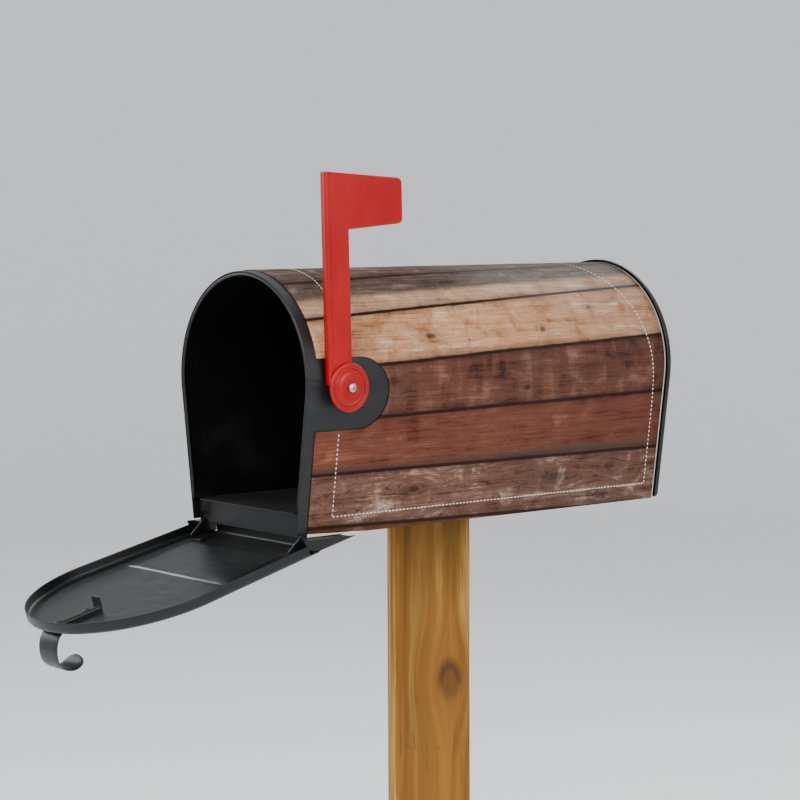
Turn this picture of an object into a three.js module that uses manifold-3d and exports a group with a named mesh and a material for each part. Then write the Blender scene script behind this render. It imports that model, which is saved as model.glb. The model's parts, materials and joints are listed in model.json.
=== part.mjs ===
// Large rural mailbox on a timber post: arched steel box with a drop-down door, a printed
// wrap-round cover and a signal flag. Millimetres, +Z up. The door faces -Y, the flag is on
// the +X side, and the origin is the centre of the post's foot at ground level.
import * as THREE from 'three';
import { mergeVertices } from 'three/addons/utils/BufferGeometryUtils.js';
import Module from 'manifold-3d';

const wasm = await Module();
wasm.setup();

// Clearances
const contactGap = 0.3;
const runningGap = 0.1;

// Box
const boxLength = 520;
const boxHeight = 268;
const archRadius = 113;
const wallTaper = THREE.MathUtils.degToRad(7.9);
const sheet = 1.2;
const groundToBox = 1041;

// Front rim
const rimDepth = 12;
const rimLip = 3.5;

// Floor
const floorRise = 22;
const floorSetback = 3;
const floorEndGap = 1.5;
const sillSetback = 12;
const sillDrop = 4.5;
const sillTab = 12;

// Rear cap
const capOverhang = 4;
const capFlange = 6.5;
const capDishInset = 14;
const capDishDepth = 4;

// Mounting board and post
const boardThickness = 18;
const boardSideGap = 1;
const boardFront = 100;
const boardLength = 385;
const postSize = 89;
const postEase = 6;
const postTurn = THREE.MathUtils.degToRad(-37.5);
const postForward = 7.5;
const postScrewSpacing = 46;
const postScrewLength = 62;
const woodScrew = { head: 5.5, rim: 0.5, shank: 2.6 };
const floorScrewSpanX = 120;
const floorScrewInset = 28;
const floorScrew = { head: 4.6, headHeight: 2.6, shank: 2, length: 15 };

// Hinge, measured from the front edge of the box and the bottom edge of its walls
const hingeY = 16;
const hingeZ = 0.4;
const hingePinRadius = 3;
const hingeHeadRadius = 5;
const hingeHeadHeight = 1.8;
const bracketThickness = 1.5;
const bracketTabWidth = 26;
const bracketTabFront = 32;
const bracketTabSetback = 8;
const bracketEyeFront = 8;
const bracketJogTop = 3.6;
const hingeSideGap = 1.2;

// Door
const doorStandOff = 0.8;
const doorGap = 1.8;
const doorFlangeDepth = 10;
const doorTaper = THREE.MathUtils.degToRad(3.2);
const doorOpenAngle = THREE.MathUtils.degToRad(104.1);
const armThickness = 1.6;
const armLength = 27;
const armFootWidth = 16;
const armEyeRadius = 7;

// Latch clip, handle and their rivets
const clipWidth = 24;
const clipThickness = 1.4;
const clipLength = 54;
const clipUpright = 14;
const clipUprightWidth = 14;
const clipBeadRadius = 2.8;
const clipLipGap = 0.9;
const handleWidth = 34;
const handleThickness = 1.6;
const handleCurlRadius = 17.5;
const handleCurlSweep = THREE.MathUtils.degToRad(240);
const handleCurlOut = 25;
const handleCurlBelowTop = 13;
const handleFoot = 55;
const rivetRadius = 2.4;
const rivetHeadRadius = 4;
const rivetHeadHeight = 1.6;
const rivetSpacing = 34;
const rivetFromClipEnd = 8;
const rivetX = -5;

// Cover
const coverThickness = 0.8;
const coverFront = 13;
const coverDrop = 2.5;
const coverRearGap = 0.8;
const notchLength = 93;
const notchHalfHeight = 37.5;
const notchBelowHub = 7.5;

// Flag
const hubY = 44.3;
const hubZ = 151;
const flagClearance = 0.9;
const flagDepth = 8;
const flagWall = 1.8;
const flagLean = THREE.MathUtils.degToRad(1.3);
const flagHeight = 218.5;
const armForward = 23.5;
const armWidth = 29.5;
const armBottom = 3;
const bladeLength = 100;
const bladeHeight = 59;
const bladeTopFall = 8;
const bladeBottomRise = 4.5;
const flagCorner = 6;
const flagToeCorner = 2;
const hubRadius = 25;
const hubHeight = 5.2;
const flagBolt = { head: 4.7, headHeight: 2.8, shank: 3 };
const bushWall = 2;
const bushFlangeRadius = 9;
const bushFlangeThickness = 1.4;
const bushInside = 3;
const washerRadius = 7;
const washerThickness = 1.3;
const nutAcrossFlats = 10;
const nutHeight = 5;

const roundSteps = 20;
const archSteps = 56;
const inner = -sheet;
const archZ = boxHeight - archRadius;
const floorBottom = floorRise - sheet;
const boardBottom = floorBottom - contactGap - boardThickness;
const postTop = groundToBox + boardBottom - contactGap;
const postY = boxLength / 2 - postForward;

// The arch section: straight walls that lean in towards the bottom, tangent to the arch.
// It is offset outwards by `offset` and cut off level at `bottom`. It runs from the lower
// right corner over the arch to the lower left one.
function archPoints(offset, bottom, taper = wallTaper) {
  const radius = archRadius + offset;
  const points = [new THREE.Vector2(halfWidth(bottom, offset, taper), bottom)];
  for (let i = 0; i <= archSteps; i += 1) {
    const angle = -taper + (Math.PI + 2 * taper) * (i / archSteps);
    points.push(new THREE.Vector2(radius * Math.cos(angle), archZ + radius * Math.sin(angle)));
  }
  points.push(new THREE.Vector2(-halfWidth(bottom, offset, taper), bottom));
  return points;
}

// Half the width between the walls' faces at height z, for a face offset outwards
function halfWidth(z, offset, taper = wallTaper) {
  const radius = archRadius + offset;
  const tangentX = radius * Math.cos(taper);
  const tangentZ = archZ - radius * Math.sin(taper);
  return tangentX - (tangentZ - z) * Math.tan(taper);
}

function archShape(offset, bottom, taper = wallTaper) {
  return new THREE.Shape(archPoints(offset, bottom, taper));
}

function archBand(outerOffset, innerOffset, bottom) {
  const outer = archPoints(outerOffset, bottom);
  return new THREE.Shape([...outer, ...archPoints(innerOffset, bottom).reverse()]);
}

function extrude(shape, depth, xAxis, yAxis, zAxis) {
  const geometry = new THREE.ExtrudeGeometry(shape, { depth, bevelEnabled: false, curveSegments: 8 });
  return geometry.applyMatrix4(new THREE.Matrix4().makeBasis(xAxis, yAxis, zAxis));
}

const axisX = new THREE.Vector3(1, 0, 0);
const axisY = new THREE.Vector3(0, 1, 0);
const axisZ = new THREE.Vector3(0, 0, 1);

// A shape drawn in X and Z, made solid from yFrom to yTo
function alongY(shape, yFrom, yTo) {
  return extrude(shape, yTo - yFrom, axisX, axisZ, axisY.clone().negate()).translate(0, yTo, 0);
}

// A shape drawn in Y and Z, made solid from xFrom to xTo
function alongX(shape, xFrom, xTo) {
  return extrude(shape, xTo - xFrom, axisY, axisZ, axisX).translate(xFrom, 0, 0);
}

function box(from, to) {
  const size = to.map((value, i) => value - from[i]);
  const centre = to.map((value, i) => (value + from[i]) / 2);
  return new THREE.BoxGeometry(...size).translate(...centre);
}

// A turned piece about Z, from [radius, height] pairs that start and end on the axis
function turned(profile) {
  return new THREE.LatheGeometry(profile.map(([r, h]) => new THREE.Vector2(r, h)), roundSteps)
    .rotateX(Math.PI / 2);
}

// The same piece with its axis along +X
function turnedAlongX(profile) {
  return turned(profile).rotateY(Math.PI / 2);
}

function ring(outerRadius, innerRadius, height) {
  return turned([
    [innerRadius, 0],
    [outerRadius, 0],
    [outerRadius, height],
    [innerRadius, height],
    [innerRadius, 0],
  ]);
}

function roundedRect(left, bottom, right, top, radius) {
  const shape = new THREE.Shape();
  shape.moveTo(left + radius, bottom);
  shape.lineTo(right - radius, bottom);
  shape.absarc(right - radius, bottom + radius, radius, -Math.PI / 2, 0);
  shape.lineTo(right, top - radius);
  shape.absarc(right - radius, top - radius, radius, 0, Math.PI / 2);
  shape.lineTo(left + radius, top);
  shape.absarc(left + radius, top - radius, radius, Math.PI / 2, Math.PI);
  shape.lineTo(left, bottom + radius);
  shape.absarc(left + radius, bottom + radius, radius, Math.PI, 1.5 * Math.PI);
  return shape;
}

// A closed outline through [x, y, corner radius] corners, each rounded where its radius isn't 0
function roundedPolygon(corners) {
  const shape = new THREE.Shape();
  corners.forEach(([x, y, radius], i) => {
    const corner = new THREE.Vector2(x, y);
    const before = new THREE.Vector2(...corners[(i + corners.length - 1) % corners.length].slice(0, 2));
    const after = new THREE.Vector2(...corners[(i + 1) % corners.length].slice(0, 2));
    const entry = corner.clone().add(before.sub(corner).setLength(radius));
    const leave = corner.clone().add(after.sub(corner).setLength(radius));
    if (i === 0) {
      shape.moveTo(entry.x, entry.y);
    } else {
      shape.lineTo(entry.x, entry.y);
    }
    if (radius > 0) {
      shape.quadraticCurveTo(corner.x, corner.y, leave.x, leave.y);
    }
  });
  return shape;
}

function arcPoints(centreX, centreY, radius, from, to, steps) {
  const points = [];
  for (let i = 0; i <= steps; i += 1) {
    const angle = from + (to - from) * (i / steps);
    points.push(new THREE.Vector2(centreX + radius * Math.cos(angle), centreY + radius * Math.sin(angle)));
  }
  return points;
}

// A bent strip seen from its edge: the centre line thickened evenly to both sides
function stripShape(line, thickness) {
  const left = [];
  const right = [];
  line.forEach((point, i) => {
    const before = line[Math.max(i - 1, 0)];
    const after = line[Math.min(i + 1, line.length - 1)];
    const normal = after.clone().sub(before).normalize();
    normal.set(-normal.y, normal.x).multiplyScalar(thickness / 2);
    left.push(point.clone().add(normal));
    right.push(point.clone().sub(normal));
  });
  return new THREE.Shape([...right, ...left.reverse()]);
}

function toSolid(geometry) {
  const bare = geometry.clone();
  bare.deleteAttribute('normal');
  bare.deleteAttribute('uv');
  const merged = mergeVertices(bare, 1e-4);
  const vertProperties = merged.attributes.position.array;
  const triVerts = Uint32Array.from(merged.index.array);
  return new wasm.Manifold(new wasm.Mesh({ numProp: 3, vertProperties, triVerts }));
}

function toGeometry(solid) {
  const mesh = solid.getMesh();
  const geometry = new THREE.BufferGeometry();
  geometry.setAttribute('position', new THREE.BufferAttribute(new Float32Array(mesh.vertProperties), 3));
  geometry.setIndex(new THREE.BufferAttribute(new Uint32Array(mesh.triVerts), 1));
  geometry.computeVertexNormals();
  return geometry;
}

function join(first, ...others) {
  return toGeometry(others.reduce((sum, item) => sum.add(toSolid(item)), toSolid(first)));
}

function cut(first, ...others) {
  return toGeometry(others.reduce((rest, item) => rest.subtract(toSolid(item)), toSolid(first)));
}

const materials = {
  blackSteel: { color: 0x1c1c1e, roughness: 0.4, metalness: 0.2 },
  rawSteel: { color: 0x9a9c9e, roughness: 0.35, metalness: 0.9 },
  printedVinyl: { color: 0x8a5a48, roughness: 0.45, metalness: 0 },
  redPlastic: { color: 0xc40a14, roughness: 0.35, metalness: 0 },
  nylon: { color: 0xe6e3da, roughness: 0.5, metalness: 0 },
  timber: { color: 0xa8824a, roughness: 0.75, metalness: 0 },
  ply: { color: 0xb99463, roughness: 0.8, metalness: 0 },
};

function piece(name, geometry, finish) {
  const mesh = new THREE.Mesh(geometry, new THREE.MeshStandardMaterial(materials[finish]));
  mesh.name = name;
  return mesh;
}

// Post and mounting board

function woodScrewProfile(grow) {
  const tip = postScrewLength + grow;
  const underHead = -woodScrew.rim - 3 * grow;
  return [
    [0, -tip],
    [woodScrew.shank + grow, -tip],
    [woodScrew.shank + grow, underHead + woodScrew.shank - woodScrew.head],
    [woodScrew.head + grow, underHead],
    [woodScrew.head + grow, grow],
    [0, grow],
  ];
}

// The four wood screws stand in a square pattern that is turned with the post
function postScrewPlaces() {
  const half = postScrewSpacing / 2;
  const corners = [[-half, -half], [half, -half], [half, half], [-half, half]];
  return corners.map(([x, y]) => new THREE.Vector2(x, y).rotateAround(new THREE.Vector2(), postTurn));
}

function makePost() {
  const half = postSize / 2;
  const shape = roundedRect(-half, -half, half, half, postEase);
  const body = new THREE.ExtrudeGeometry(shape, { depth: postTop, bevelEnabled: false, curveSegments: 6 });
  body.rotateZ(postTurn);
  const bores = postScrewPlaces().map(({ x, y }) => (
    turned(woodScrewProfile(runningGap)).translate(x, y, groundToBox + boardBottom + boardThickness)
  ));
  return piece('post', cut(body, ...bores), 'timber');
}

function floorScrewPlaces() {
  const places = [];
  for (const x of [-floorScrewSpanX / 2, floorScrewSpanX / 2]) {
    for (const y of [boardFront + floorScrewInset, boardFront + boardLength - floorScrewInset]) {
      places.push([x, y]);
    }
  }
  return places;
}

function floorScrewProfile(grow) {
  return [
    [0, -floorScrew.length - grow],
    [floorScrew.shank + grow, -floorScrew.length - grow],
    [floorScrew.shank + grow, 0],
    [floorScrew.head + grow, 0],
    [floorScrew.head + grow, floorScrew.headHeight * 0.5],
    [floorScrew.head * 0.6, floorScrew.headHeight],
    [0, floorScrew.headHeight],
  ];
}

function makeBoard() {
  const half = halfWidth(boardBottom, inner) - boardSideGap;
  const top = boardBottom + boardThickness;
  const body = box([-half, boardFront, boardBottom], [half, boardFront + boardLength, top]);
  const bores = [
    ...postScrewPlaces().map(({ x, y }) => (
      turned(woodScrewProfile(runningGap)).translate(x, y + postY, top)
    )),
    ...floorScrewPlaces().map(([x, y]) => turned(floorScrewProfile(runningGap)).translate(x, y, floorRise)),
  ];
  return piece('mounting_board', cut(body, ...bores), 'ply');
}

function makePostScrews() {
  return postScrewPlaces().map(({ x, y }, i) => (
    piece(
      `post_screw_${i + 1}`,
      turned(woodScrewProfile(0)).translate(x, y + postY, boardBottom + boardThickness - runningGap),
      'rawSteel',
    )
  ));
}

function makeFloorScrews() {
  return floorScrewPlaces().map(([x, y], i) => (
    piece(
      `floor_screw_${i + 1}`,
      turned(floorScrewProfile(0)).translate(x, y, floorRise + contactGap),
      'rawSteel',
    )
  ));
}

// Box

const flagBoltHole = flagBolt.shank + runningGap;
const bushRadius = flagBoltHole + bushWall;

// The flag's pivot stands on the widest part of the wall
const wallX = archRadius;

function makeBodyShell() {
  const band = alongY(archBand(0, inner, 0), 0, boxLength - sheet - contactGap);
  const hole = turnedAlongX([
    [0, wallX - 2 * bushInside - sheet],
    [bushRadius + runningGap, wallX - 2 * bushInside - sheet],
    [bushRadius + runningGap, wallX + 1],
    [0, wallX + 1],
  ]).translate(0, hubY, hubZ);
  return piece('body_shell', cut(band, hole), 'blackSteel');
}

function makeFrontRim() {
  const bandOuter = inner - contactGap;
  const bottom = floorRise + contactGap;
  const band = alongY(archBand(bandOuter, bandOuter - sheet, bottom), 0, rimDepth);
  const lip = alongY(archBand(bandOuter - sheet / 2, bandOuter - rimLip, bottom), 0, sheet);
  return piece('front_rim', join(band, lip), 'blackSteel');
}

const bracketOuter = halfWidth(0, inner) - contactGap;
const bracketInner = bracketOuter - bracketThickness;
const armOuter = bracketInner - hingeSideGap;
const armInner = armOuter - armThickness;
const hingeHeadInner = armInner - contactGap - hingeHeadHeight;
const cornerClear = hingeHeadInner - hingeSideGap;

function makeFloorPan() {
  const half = halfWidth(floorBottom, inner) - contactGap;
  const rear = boxLength - capDishDepth - sheet - floorEndGap;
  const sheetBody = box([-half, floorSetback, floorBottom], [half, rear, floorRise]);
  const cornerBack = hingeY + armEyeRadius + hingeHeadRadius;
  const corners = [-1, 1].map((side) => (
    box([-1, 0, -sheet], [half, cornerBack, 2 * sheet])
      .translate(side > 0 ? cornerClear + 1 : -cornerClear - half, 0, floorBottom)
  ));
  const holes = floorScrewPlaces().map(([x, y]) => (
    turned(floorScrewProfile(runningGap)).translate(x, y, floorRise + runningGap)
  ));
  return piece('floor_pan', cut(sheetBody, ...corners, ...holes), 'blackSteel');
}

function makeSill() {
  const top = floorBottom - contactGap;
  const front = sillSetback;
  const plate = box([-cornerClear, front, -sillDrop], [cornerClear, front + sheet, top]);
  const tab = box([-cornerClear, front, top - sheet], [cornerClear, front + sillTab, top]);
  return piece('front_sill', join(plate, tab), 'blackSteel');
}

function makeRearCap() {
  const face = boxLength + sheet;
  const front = face - capFlange;
  const rim = alongY(archShape(capOverhang, -sheet - contactGap), front, face);
  const pocket = alongY(archShape(contactGap, -contactGap), front - 1, boxLength);
  const dishFace = face - capDishDepth;
  const dishBottom = capDishInset - sheet;
  const dish = alongY(archShape(-capDishInset + sheet, dishBottom), dishFace - sheet, face);
  const dishHollow = alongY(archShape(-capDishInset, capDishInset), dishFace, face + 1);
  return piece('rear_cap', cut(join(cut(rim, pocket), dish), dishHollow), 'blackSteel');
}

// The hinge bracket is welded under the floor. Inside the wall it carries the hinge pin, then
// it steps out below the wall's edge to a tapered side plate, which closes the gap beside the
// door. The side plate's lower edge follows the open door's panel, which rests against it.
const bracketSlope = doorOpenAngle - Math.PI / 2;
const plateOuter = halfWidth(0, doorGap, doorTaper) - hingeSideGap;

function makeBracket(side) {
  const reach = hingeY + doorStandOff - contactGap;
  const front = arcPoints(hingeY, hingeZ, reach, Math.PI, 1.5 * Math.PI + bracketSlope, 14);
  const foot = front[front.length - 1];
  const jogTop = -bracketJogTop;
  const jogBottom = jogTop - bracketThickness;
  const endY = foot.x + (jogTop - foot.y) / Math.tan(bracketSlope);
  const sideShape = new THREE.Shape([
    ...front.filter((point) => point.y < jogTop),
    new THREE.Vector2(endY, jogTop),
    new THREE.Vector2(front[0].x + 1, jogTop),
  ]);
  const top = floorBottom - contactGap;
  const rear = endY - bracketThickness - bracketTabSetback;
  const plateInner = plateOuter - bracketThickness / 2;
  const tabInner = bracketInner - bracketTabWidth;
  return mirrored(cut(
    join(
      alongX(sideShape, plateOuter - bracketThickness, plateOuter),
      box([bracketInner, bracketEyeFront, jogBottom], [plateInner, rear, jogTop]),
      box([bracketInner, bracketEyeFront, jogBottom], [bracketOuter, rear, top - bracketThickness]),
      box([bracketInner, bracketTabFront, jogBottom], [bracketOuter, rear, top]),
      box([tabInner, bracketTabFront, top - bracketThickness], [bracketOuter, rear, top]),
    ),
    turnedAlongX([
      [0, 0],
      [hingePinRadius + runningGap, 0],
      [hingePinRadius + runningGap, 2 * bracketThickness],
      [0, 2 * bracketThickness],
    ]).translate(bracketInner - bracketThickness / 2, hingeY, hingeZ),
  ), side);
}

// The right-hand piece as made, or its mirror image for the left-hand side
function mirrored(geometry, side) {
  if (side > 0) {
    return geometry;
  }
  const flipped = geometry.clone().scale(-1, 1, 1);
  const index = flipped.index.array;
  for (let i = 0; i < index.length; i += 3) {
    [index[i], index[i + 1]] = [index[i + 1], index[i]];
  }
  flipped.computeVertexNormals();
  return flipped;
}

function makeHingePin(side) {
  const length = bracketOuter - armInner + contactGap;
  const pin = turnedAlongX([
    [0, -hingeHeadHeight],
    [hingeHeadRadius * 0.7, -hingeHeadHeight],
    [hingeHeadRadius, -hingeHeadHeight * 0.4],
    [hingeHeadRadius, 0],
    [hingePinRadius, 0],
    [hingePinRadius, length],
    [0, length],
  ]).translate(armInner - contactGap, hingeY, hingeZ);
  return mirrored(pin, side);
}

// Cover

const coverInner = contactGap;
const coverOuter = contactGap + coverThickness;

function makeCover() {
  const rear = boxLength + sheet - capFlange - coverRearGap;
  const band = alongY(archBand(coverOuter, coverInner, -coverDrop), coverFront, rear);
  const notchCentre = hubZ - notchBelowHub;
  const roundY = coverFront + notchLength - notchHalfHeight;
  const shape = new THREE.Shape([
    new THREE.Vector2(coverFront - 1, notchCentre - notchHalfHeight),
    ...arcPoints(roundY, notchCentre, notchHalfHeight, -Math.PI / 2, Math.PI / 2, 20),
    new THREE.Vector2(coverFront - 1, notchCentre + notchHalfHeight),
  ]);
  return piece('cover_wrap', cut(band, alongX(shape, archRadius / 2, archRadius * 1.5)), 'printedVinyl');
}

// Door, drawn closed

const doorFace = -doorStandOff - sheet;
const doorBack = -doorStandOff;
const doorOuter = doorGap + sheet;
const clipTopZ = boxHeight + inner - contactGap - rimLip - clipLipGap;
const clipFootZ = clipTopZ - clipLength;
const rivetLowZ = clipFootZ + rivetFromClipEnd;

function rivetPlaces() {
  return [rivetLowZ, rivetLowZ + rivetSpacing];
}

function rivetBore() {
  return rivetPlaces().map((z) => (
    turned([
      [0, -10],
      [rivetRadius + runningGap, -10],
      [rivetRadius + runningGap, 10],
      [0, 10],
    ]).rotateX(Math.PI / 2).translate(rivetX, doorFace, z)
  ));
}

function makeDoorPanel() {
  const pan = alongY(archShape(doorOuter, -doorOuter, doorTaper), doorFace, doorFlangeDepth);
  const hollow = alongY(archShape(doorGap, -doorGap, doorTaper), doorBack, doorFlangeDepth + 1);
  const cornerWidth = halfWidth(0, doorGap, doorTaper) - cornerClear - sheet / 2;
  const corners = [-1, 1].map((side) => (
    box([-cornerWidth / 2, doorBack, -2 * doorOuter], [cornerWidth / 2, doorFlangeDepth + 1, doorGap])
      .translate(side * (cornerClear + cornerWidth / 2), 0, 0)
  ));
  return piece('door_panel', cut(pan, hollow, ...corners, ...rivetBore()), 'blackSteel');
}

function makeDoorArm(side) {
  const back = doorBack + contactGap;
  const eye = arcPoints(hingeY, hingeZ, armEyeRadius, -Math.PI / 2, Math.PI / 2, 12);
  const shape = new THREE.Shape([
    new THREE.Vector2(back, hingeZ - armEyeRadius),
    ...eye,
    new THREE.Vector2(back + 6, armLength),
    new THREE.Vector2(back, armLength),
  ]);
  const plate = alongX(shape, armInner, armOuter);
  const footBottom = hingeZ + armEyeRadius;
  const foot = box(
    [armInner - armFootWidth, back, footBottom],
    [armInner + armThickness / 2, back + armThickness, armLength],
  );
  const bore = turnedAlongX([
    [0, -armThickness],
    [hingePinRadius + runningGap, -armThickness],
    [hingePinRadius + runningGap, 2 * armThickness],
    [0, 2 * armThickness],
  ]).translate(armInner, hingeY, hingeZ);
  return mirrored(cut(join(plate, foot), bore), side);
}

// A pressed clip: a foot on the door, a long bead that snaps behind the mouth's lip, and an
// upright end
function makeLatchClip() {
  const back = doorBack + contactGap;
  const half = clipWidth / 2;
  const foot = box([-half, back, clipFootZ], [half, back + clipThickness, clipTopZ]);
  const bead = new THREE.CylinderGeometry(clipBeadRadius, clipBeadRadius, clipLength, roundSteps)
    .rotateX(Math.PI / 2)
    .translate(half - clipBeadRadius, back + clipBeadRadius, clipFootZ + clipLength / 2);
  const upright = box(
    [half - clipUprightWidth, back, clipFootZ],
    [half, back + clipUpright, clipFootZ + clipThickness],
  );
  return piece('latch_clip', cut(join(foot, bead, upright), ...rivetBore()), 'blackSteel');
}

// The handle's strip lies on the door's face, sweeps outwards near its top edge and scrolls
// back under itself
function makeHandle() {
  const base = doorFace - contactGap - handleThickness / 2;
  const curl = handleCurlRadius - handleThickness / 2;
  const curlZ = boxHeight - handleCurlBelowTop;
  const curlY = base - handleCurlOut;
  const sweepOut = arcPoints(0, 0, curl, 0, Math.PI / 2, 10)
    .map(({ x, y }) => new THREE.Vector2(curlY + x * (handleCurlOut / curl), curlZ + y));
  const line = [
    new THREE.Vector2(base, curlZ - handleFoot),
    ...sweepOut,
    ...arcPoints(curlY, curlZ, curl, Math.PI / 2, handleCurlSweep, 18).slice(1),
  ];
  const strip = alongX(stripShape(line, handleThickness), -handleWidth / 2, handleWidth / 2);
  return piece('door_handle', cut(strip, ...rivetBore()), 'blackSteel');
}

function makeDoorRivets() {
  const backHead = clipThickness + contactGap;
  const frontHead = sheet + handleThickness + contactGap;
  return rivetPlaces().map((z, i) => (
    piece(
      `door_rivet_${i + 1}`,
      turned([
        [0, backHead + contactGap + rivetHeadHeight],
        [rivetHeadRadius * 0.6, backHead + contactGap + rivetHeadHeight * 0.8],
        [rivetHeadRadius, backHead + contactGap],
        [rivetRadius, backHead + contactGap],
        [rivetRadius, -frontHead - contactGap],
        [rivetHeadRadius, -frontHead - contactGap],
        [rivetHeadRadius * 0.6, -frontHead - contactGap - rivetHeadHeight * 0.8],
        [0, -frontHead - contactGap - rivetHeadHeight],
      ].reverse()).rotateX(-Math.PI / 2).translate(rivetX, doorBack, z),
      'rawSteel',
    )
  ));
}

// Flag, drawn raised, about its pivot on the wall

const flagBack = wallX + coverOuter + flagClearance;
const flagFace = flagBack + flagDepth;

function flagOutline(inset) {
  const front = -armForward + inset;
  const rear = armWidth - armForward - inset;
  const end = bladeLength - armForward - inset;
  const top = flagHeight - inset;
  const bladeBottom = flagHeight - bladeHeight + inset;
  const toe = Math.max(flagToeCorner - inset, 0.2);
  const round = Math.max(flagCorner - inset, 0.5);
  return roundedPolygon([
    [front, armBottom + inset, toe],
    [rear, armBottom + inset, toe],
    [rear, bladeBottom, 0],
    [end, bladeBottom + bladeBottomRise, round],
    [end, top - bladeTopFall, round],
    [front, top, toe],
  ]);
}

function makeFlagArm() {
  const backing = turnedAlongX([
    [0, flagBack],
    [hubRadius - 2, flagBack],
    [hubRadius - 2, flagFace],
    [0, flagFace],
  ]);
  const bossHollow = turnedAlongX([
    [0, flagBack - 1],
    [hubRadius - 2 - flagWall, flagBack - 1],
    [hubRadius - 2 - flagWall, flagFace - flagWall],
    [0, flagFace - flagWall],
  ]);
  const core = turnedAlongX([
    [0, flagBack],
    [bushFlangeRadius, flagBack],
    [bushFlangeRadius, flagFace - flagWall / 2],
    [0, flagFace - flagWall / 2],
  ]);
  const bore = turnedAlongX([
    [0, flagBack - 1],
    [flagBoltHole, flagBack - 1],
    [flagBoltHole, flagFace + 1],
    [0, flagFace + 1],
  ]);
  const skin = join(alongX(flagOutline(0), flagBack, flagFace), backing);
  const hollow = alongX(flagOutline(flagWall), flagBack - 1, flagFace - flagWall);
  return piece('flag_arm', cut(join(cut(skin, hollow, bossHollow), core), bore), 'redPlastic');
}

function makeFlagHub() {
  const base = flagFace + contactGap;
  const dome = turnedAlongX([
    [0, base],
    [hubRadius, base],
    [hubRadius, base + hubHeight * 0.35],
    [hubRadius - 2.5, base + hubHeight * 0.6],
    [hubRadius - 6, base + hubHeight * 0.6],
    [hubRadius - 8, base + hubHeight * 0.85],
    [hubRadius - 13, base + hubHeight * 0.9],
    [hubRadius - 14.5, base + hubHeight],
    [0, base + hubHeight],
  ]);
  const bore = turnedAlongX([
    [0, base - 1],
    [flagBoltHole, base - 1],
    [flagBoltHole, base + hubHeight + 1],
    [0, base + hubHeight + 1],
  ]);
  return piece('flag_hub', cut(dome, bore), 'redPlastic');
}

const bushFront = wallX + contactGap;
const bushBack = wallX - sheet - bushInside;
const washerBack = bushBack - contactGap - washerThickness;
const nutBack = washerBack - contactGap - nutHeight;

function makeFlagBolt() {
  const head = flagFace + contactGap + hubHeight + contactGap;
  const bolt = turnedAlongX([
    [0, nutBack - 2],
    [flagBolt.shank, nutBack - 2],
    [flagBolt.shank, head],
    [flagBolt.head, head],
    [flagBolt.head, head + flagBolt.headHeight * 0.4],
    [flagBolt.head * 0.7, head + flagBolt.headHeight * 0.9],
    [0, head + flagBolt.headHeight],
  ]);
  return piece('flag_bolt', bolt, 'rawSteel');
}

function makeFlagWasher() {
  const washer = ring(washerRadius, flagBoltHole, washerThickness).rotateY(Math.PI / 2);
  return piece('flag_spring_washer', washer.translate(washerBack, 0, 0), 'rawSteel');
}

function makeFlagNut() {
  const across = nutAcrossFlats / Math.sqrt(3);
  const hex = new THREE.CylinderGeometry(across, across, nutHeight, 6).rotateZ(Math.PI / 2);
  const bore = turnedAlongX([
    [0, -nutHeight],
    [flagBoltHole, -nutHeight],
    [flagBoltHole, nutHeight],
    [0, nutHeight],
  ]);
  return piece('flag_nut', cut(hex, bore).translate(nutBack + nutHeight / 2, 0, 0), 'rawSteel');
}

function makeFlagBush() {
  const sleeve = turnedAlongX([
    [flagBoltHole, bushBack],
    [bushRadius, bushBack],
    [bushRadius, bushFront],
    [bushFlangeRadius, bushFront],
    [bushFlangeRadius, bushFront + bushFlangeThickness],
    [flagBoltHole, bushFront + bushFlangeThickness],
    [flagBoltHole, bushBack],
  ]);
  return piece('flag_bush', sleeve.translate(0, hubY, hubZ), 'nylon');
}

// Assembly: the box group starts at the box's front edge and the bottom edge of its walls

const mailbox = new THREE.Group();
mailbox.add(makePost());

const boxGroup = new THREE.Group();
boxGroup.position.set(0, -postY, groundToBox);
mailbox.add(boxGroup);
boxGroup.add(
  makeBoard(),
  ...makePostScrews(),
  makeFloorPan(),
  ...makeFloorScrews(),
  makeBodyShell(),
  makeFrontRim(),
  makeSill(),
  makeRearCap(),
  makeCover(),
  makeFlagBush(),
);
for (const [side, label] of [[1, 'right'], [-1, 'left']]) {
  boxGroup.add(piece(`hinge_bracket_${label}`, makeBracket(side), 'blackSteel'));
  boxGroup.add(piece(`hinge_pin_${label}`, makeHingePin(side), 'rawSteel'));
}

// The door swings about the hinge pins and stands open
const doorSwing = new THREE.Group();
doorSwing.position.set(0, hingeY, hingeZ);
doorSwing.rotation.x = doorOpenAngle;
boxGroup.add(doorSwing);
const doorGroup = new THREE.Group();
doorGroup.position.set(0, -hingeY, -hingeZ);
doorSwing.add(doorGroup);
doorGroup.add(makeDoorPanel(), makeHandle(), makeLatchClip(), ...makeDoorRivets());
for (const [side, label] of [[1, 'right'], [-1, 'left']]) {
  doorGroup.add(piece(`door_arm_${label}`, makeDoorArm(side), 'blackSteel'));
}

// The flag turns on its bolt and stands raised, leaning a little to the front
const flagGroup = new THREE.Group();
flagGroup.position.set(0, hubY, hubZ);
flagGroup.rotation.x = flagLean;
boxGroup.add(flagGroup);
flagGroup.add(makeFlagArm(), makeFlagHub(), makeFlagBolt(), makeFlagWasher(), makeFlagNut());

export default mailbox;
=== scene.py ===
import json
import math

import bmesh
import bpy
from mathutils import Matrix, Vector, noise

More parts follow.
